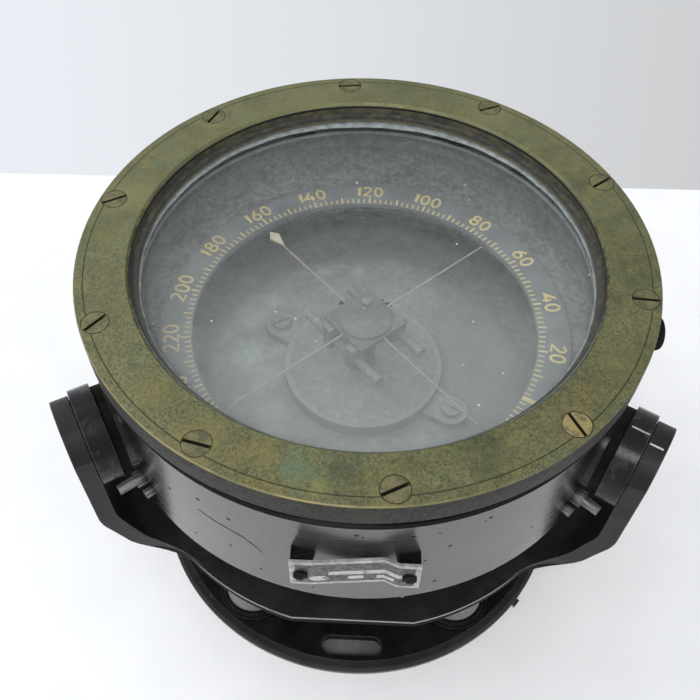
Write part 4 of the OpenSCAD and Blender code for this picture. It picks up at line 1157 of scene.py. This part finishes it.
dial_figures()
dial_ticks()
glass_line()
wall_marks()
index_marks()
mount_washers()
rubber_bushes()


# Stage, light and camera

# Floor in mm: reach to the front and sides, back edge at left and right, and depth below zero
FLOOR_REACH = 1800
FLOOR_BACK_LEFT = 133.2
FLOOR_BACK_RIGHT = 207.2
FLOOR_DROP = 0.02
# Room's light from left and right, and where across the room it changes
ROOM_LEFT = (0.83, 0.86, 0.91)
ROOM_RIGHT = (0.6, 0.61, 0.62)
ROOM_SWEEP = (-0.35, 0.4)
# Lamps: name, place and aim in m, width in m, power in W
LAMPS = [
    ("key", (-0.12, -0.62, 1.1), (0, 0, 0.1), 0.42, 4),
    ("side", (-0.75, 0.25, 1), (0, 0, 0.1), 0.8, 3.5),
    ("fill", (0.8, -0.55, 0.8), (0, 0, 0.08), 0.8, 1.2),
]
CAMERA_AT = (-0.44, -155.66, 278.07)
CAMERA_TILT, CAMERA_YAW, CAMERA_ROLL = map(radians, (51.85, 1.35, 1.28))
CAMERA_LENS = 43.09
CAMERA_SENSOR = 36
CAMERA_CLIP = 0.01


def pale_floor():
    """White sheet with a faint weave, and painted shadow where the base stands on it."""
    s = Shader("pale_floor", Roughness=0.8)
    s.colour = s.tones(s.noise(28, 4), 0.35, 0.65, (0.925, 0.925, 0.925), (0.955, 0.955, 0.955))
    # Painted shadow under the base, seen through its slots.
    under = s.tones(s.noise(12, 3), 0.35, 0.65, (0.12, 0.114, 0.107), (0.185, 0.175, 0.164))
    s.coat(s.ramp(s.r, *CONTACT_SHADOW_R), under)
    s.bump(s.noise(3, 4, 0.6), 0.25, 0.25)
    return s.done()


floor_mesh = bpy.data.meshes.new("floor")
corners = [(-FLOOR_REACH, -FLOOR_REACH), (FLOOR_REACH, -FLOOR_REACH),
           (FLOOR_REACH, FLOOR_BACK_RIGHT), (-FLOOR_REACH, FLOOR_BACK_LEFT)]
floor_mesh.from_pydata([flat(x, y, -FLOOR_DROP) for x, y in corners], [], [(0, 1, 2, 3)])
floor_mesh.materials.append(pale_floor())
floor = add_object("floor", floor_mesh)

scene = bpy.context.scene
scene.view_settings.view_transform = "Standard"
world = bpy.data.worlds.new("room")
scene.world = world
world.use_nodes = True
room = world.node_tree
backdrop = room.nodes["Background"]
backdrop.inputs["Strength"].default_value = 1
look = new_node(room, "TexCoord").outputs["Generated"]
across = new_node(room, "SeparateXYZ", {0: look}).outputs[0]
inputs = {"Value": across, "From Min": ROOM_SWEEP[0], "From Max": ROOM_SWEEP[1]}
sweep = new_node(room, "MapRange", inputs)
ends = {"Factor": sweep.outputs["Result"], 6: ROOM_LEFT, 7: ROOM_RIGHT}
tint = new_node(room, "Mix", ends, data_type="RGBA")
put(room, tint.outputs[2], backdrop.inputs["Color"])

for name, place, aim, width, power in LAMPS:
    light = bpy.data.lights.new(name, "AREA")
    light.shape = "DISK"
    light.size = width
    light.energy = power
    lamp = add_object(name, light)
    lamp.location = place
    lamp.rotation_mode = "QUATERNION"
    lamp.rotation_quaternion = (Vector(aim) - Vector(place)).to_track_quat("-Z", "Y")

camera_data = bpy.data.cameras.new("camera")
camera_data.sensor_width = CAMERA_SENSOR
camera_data.lens = CAMERA_LENS
camera_data.clip_start = CAMERA_CLIP
camera = add_object("camera", camera_data)
tilt = Matrix.Rotation(pi / 2 - CAMERA_TILT, 4, "X")
roll = Matrix.Rotation(CAMERA_ROLL, 4, "Z")
yaw = Matrix.Rotation(CAMERA_YAW, 4, "Z")
camera.matrix_world = Matrix.Translation(flat(*CAMERA_AT)) @ yaw @ tilt @ roll
scene.camera = camera
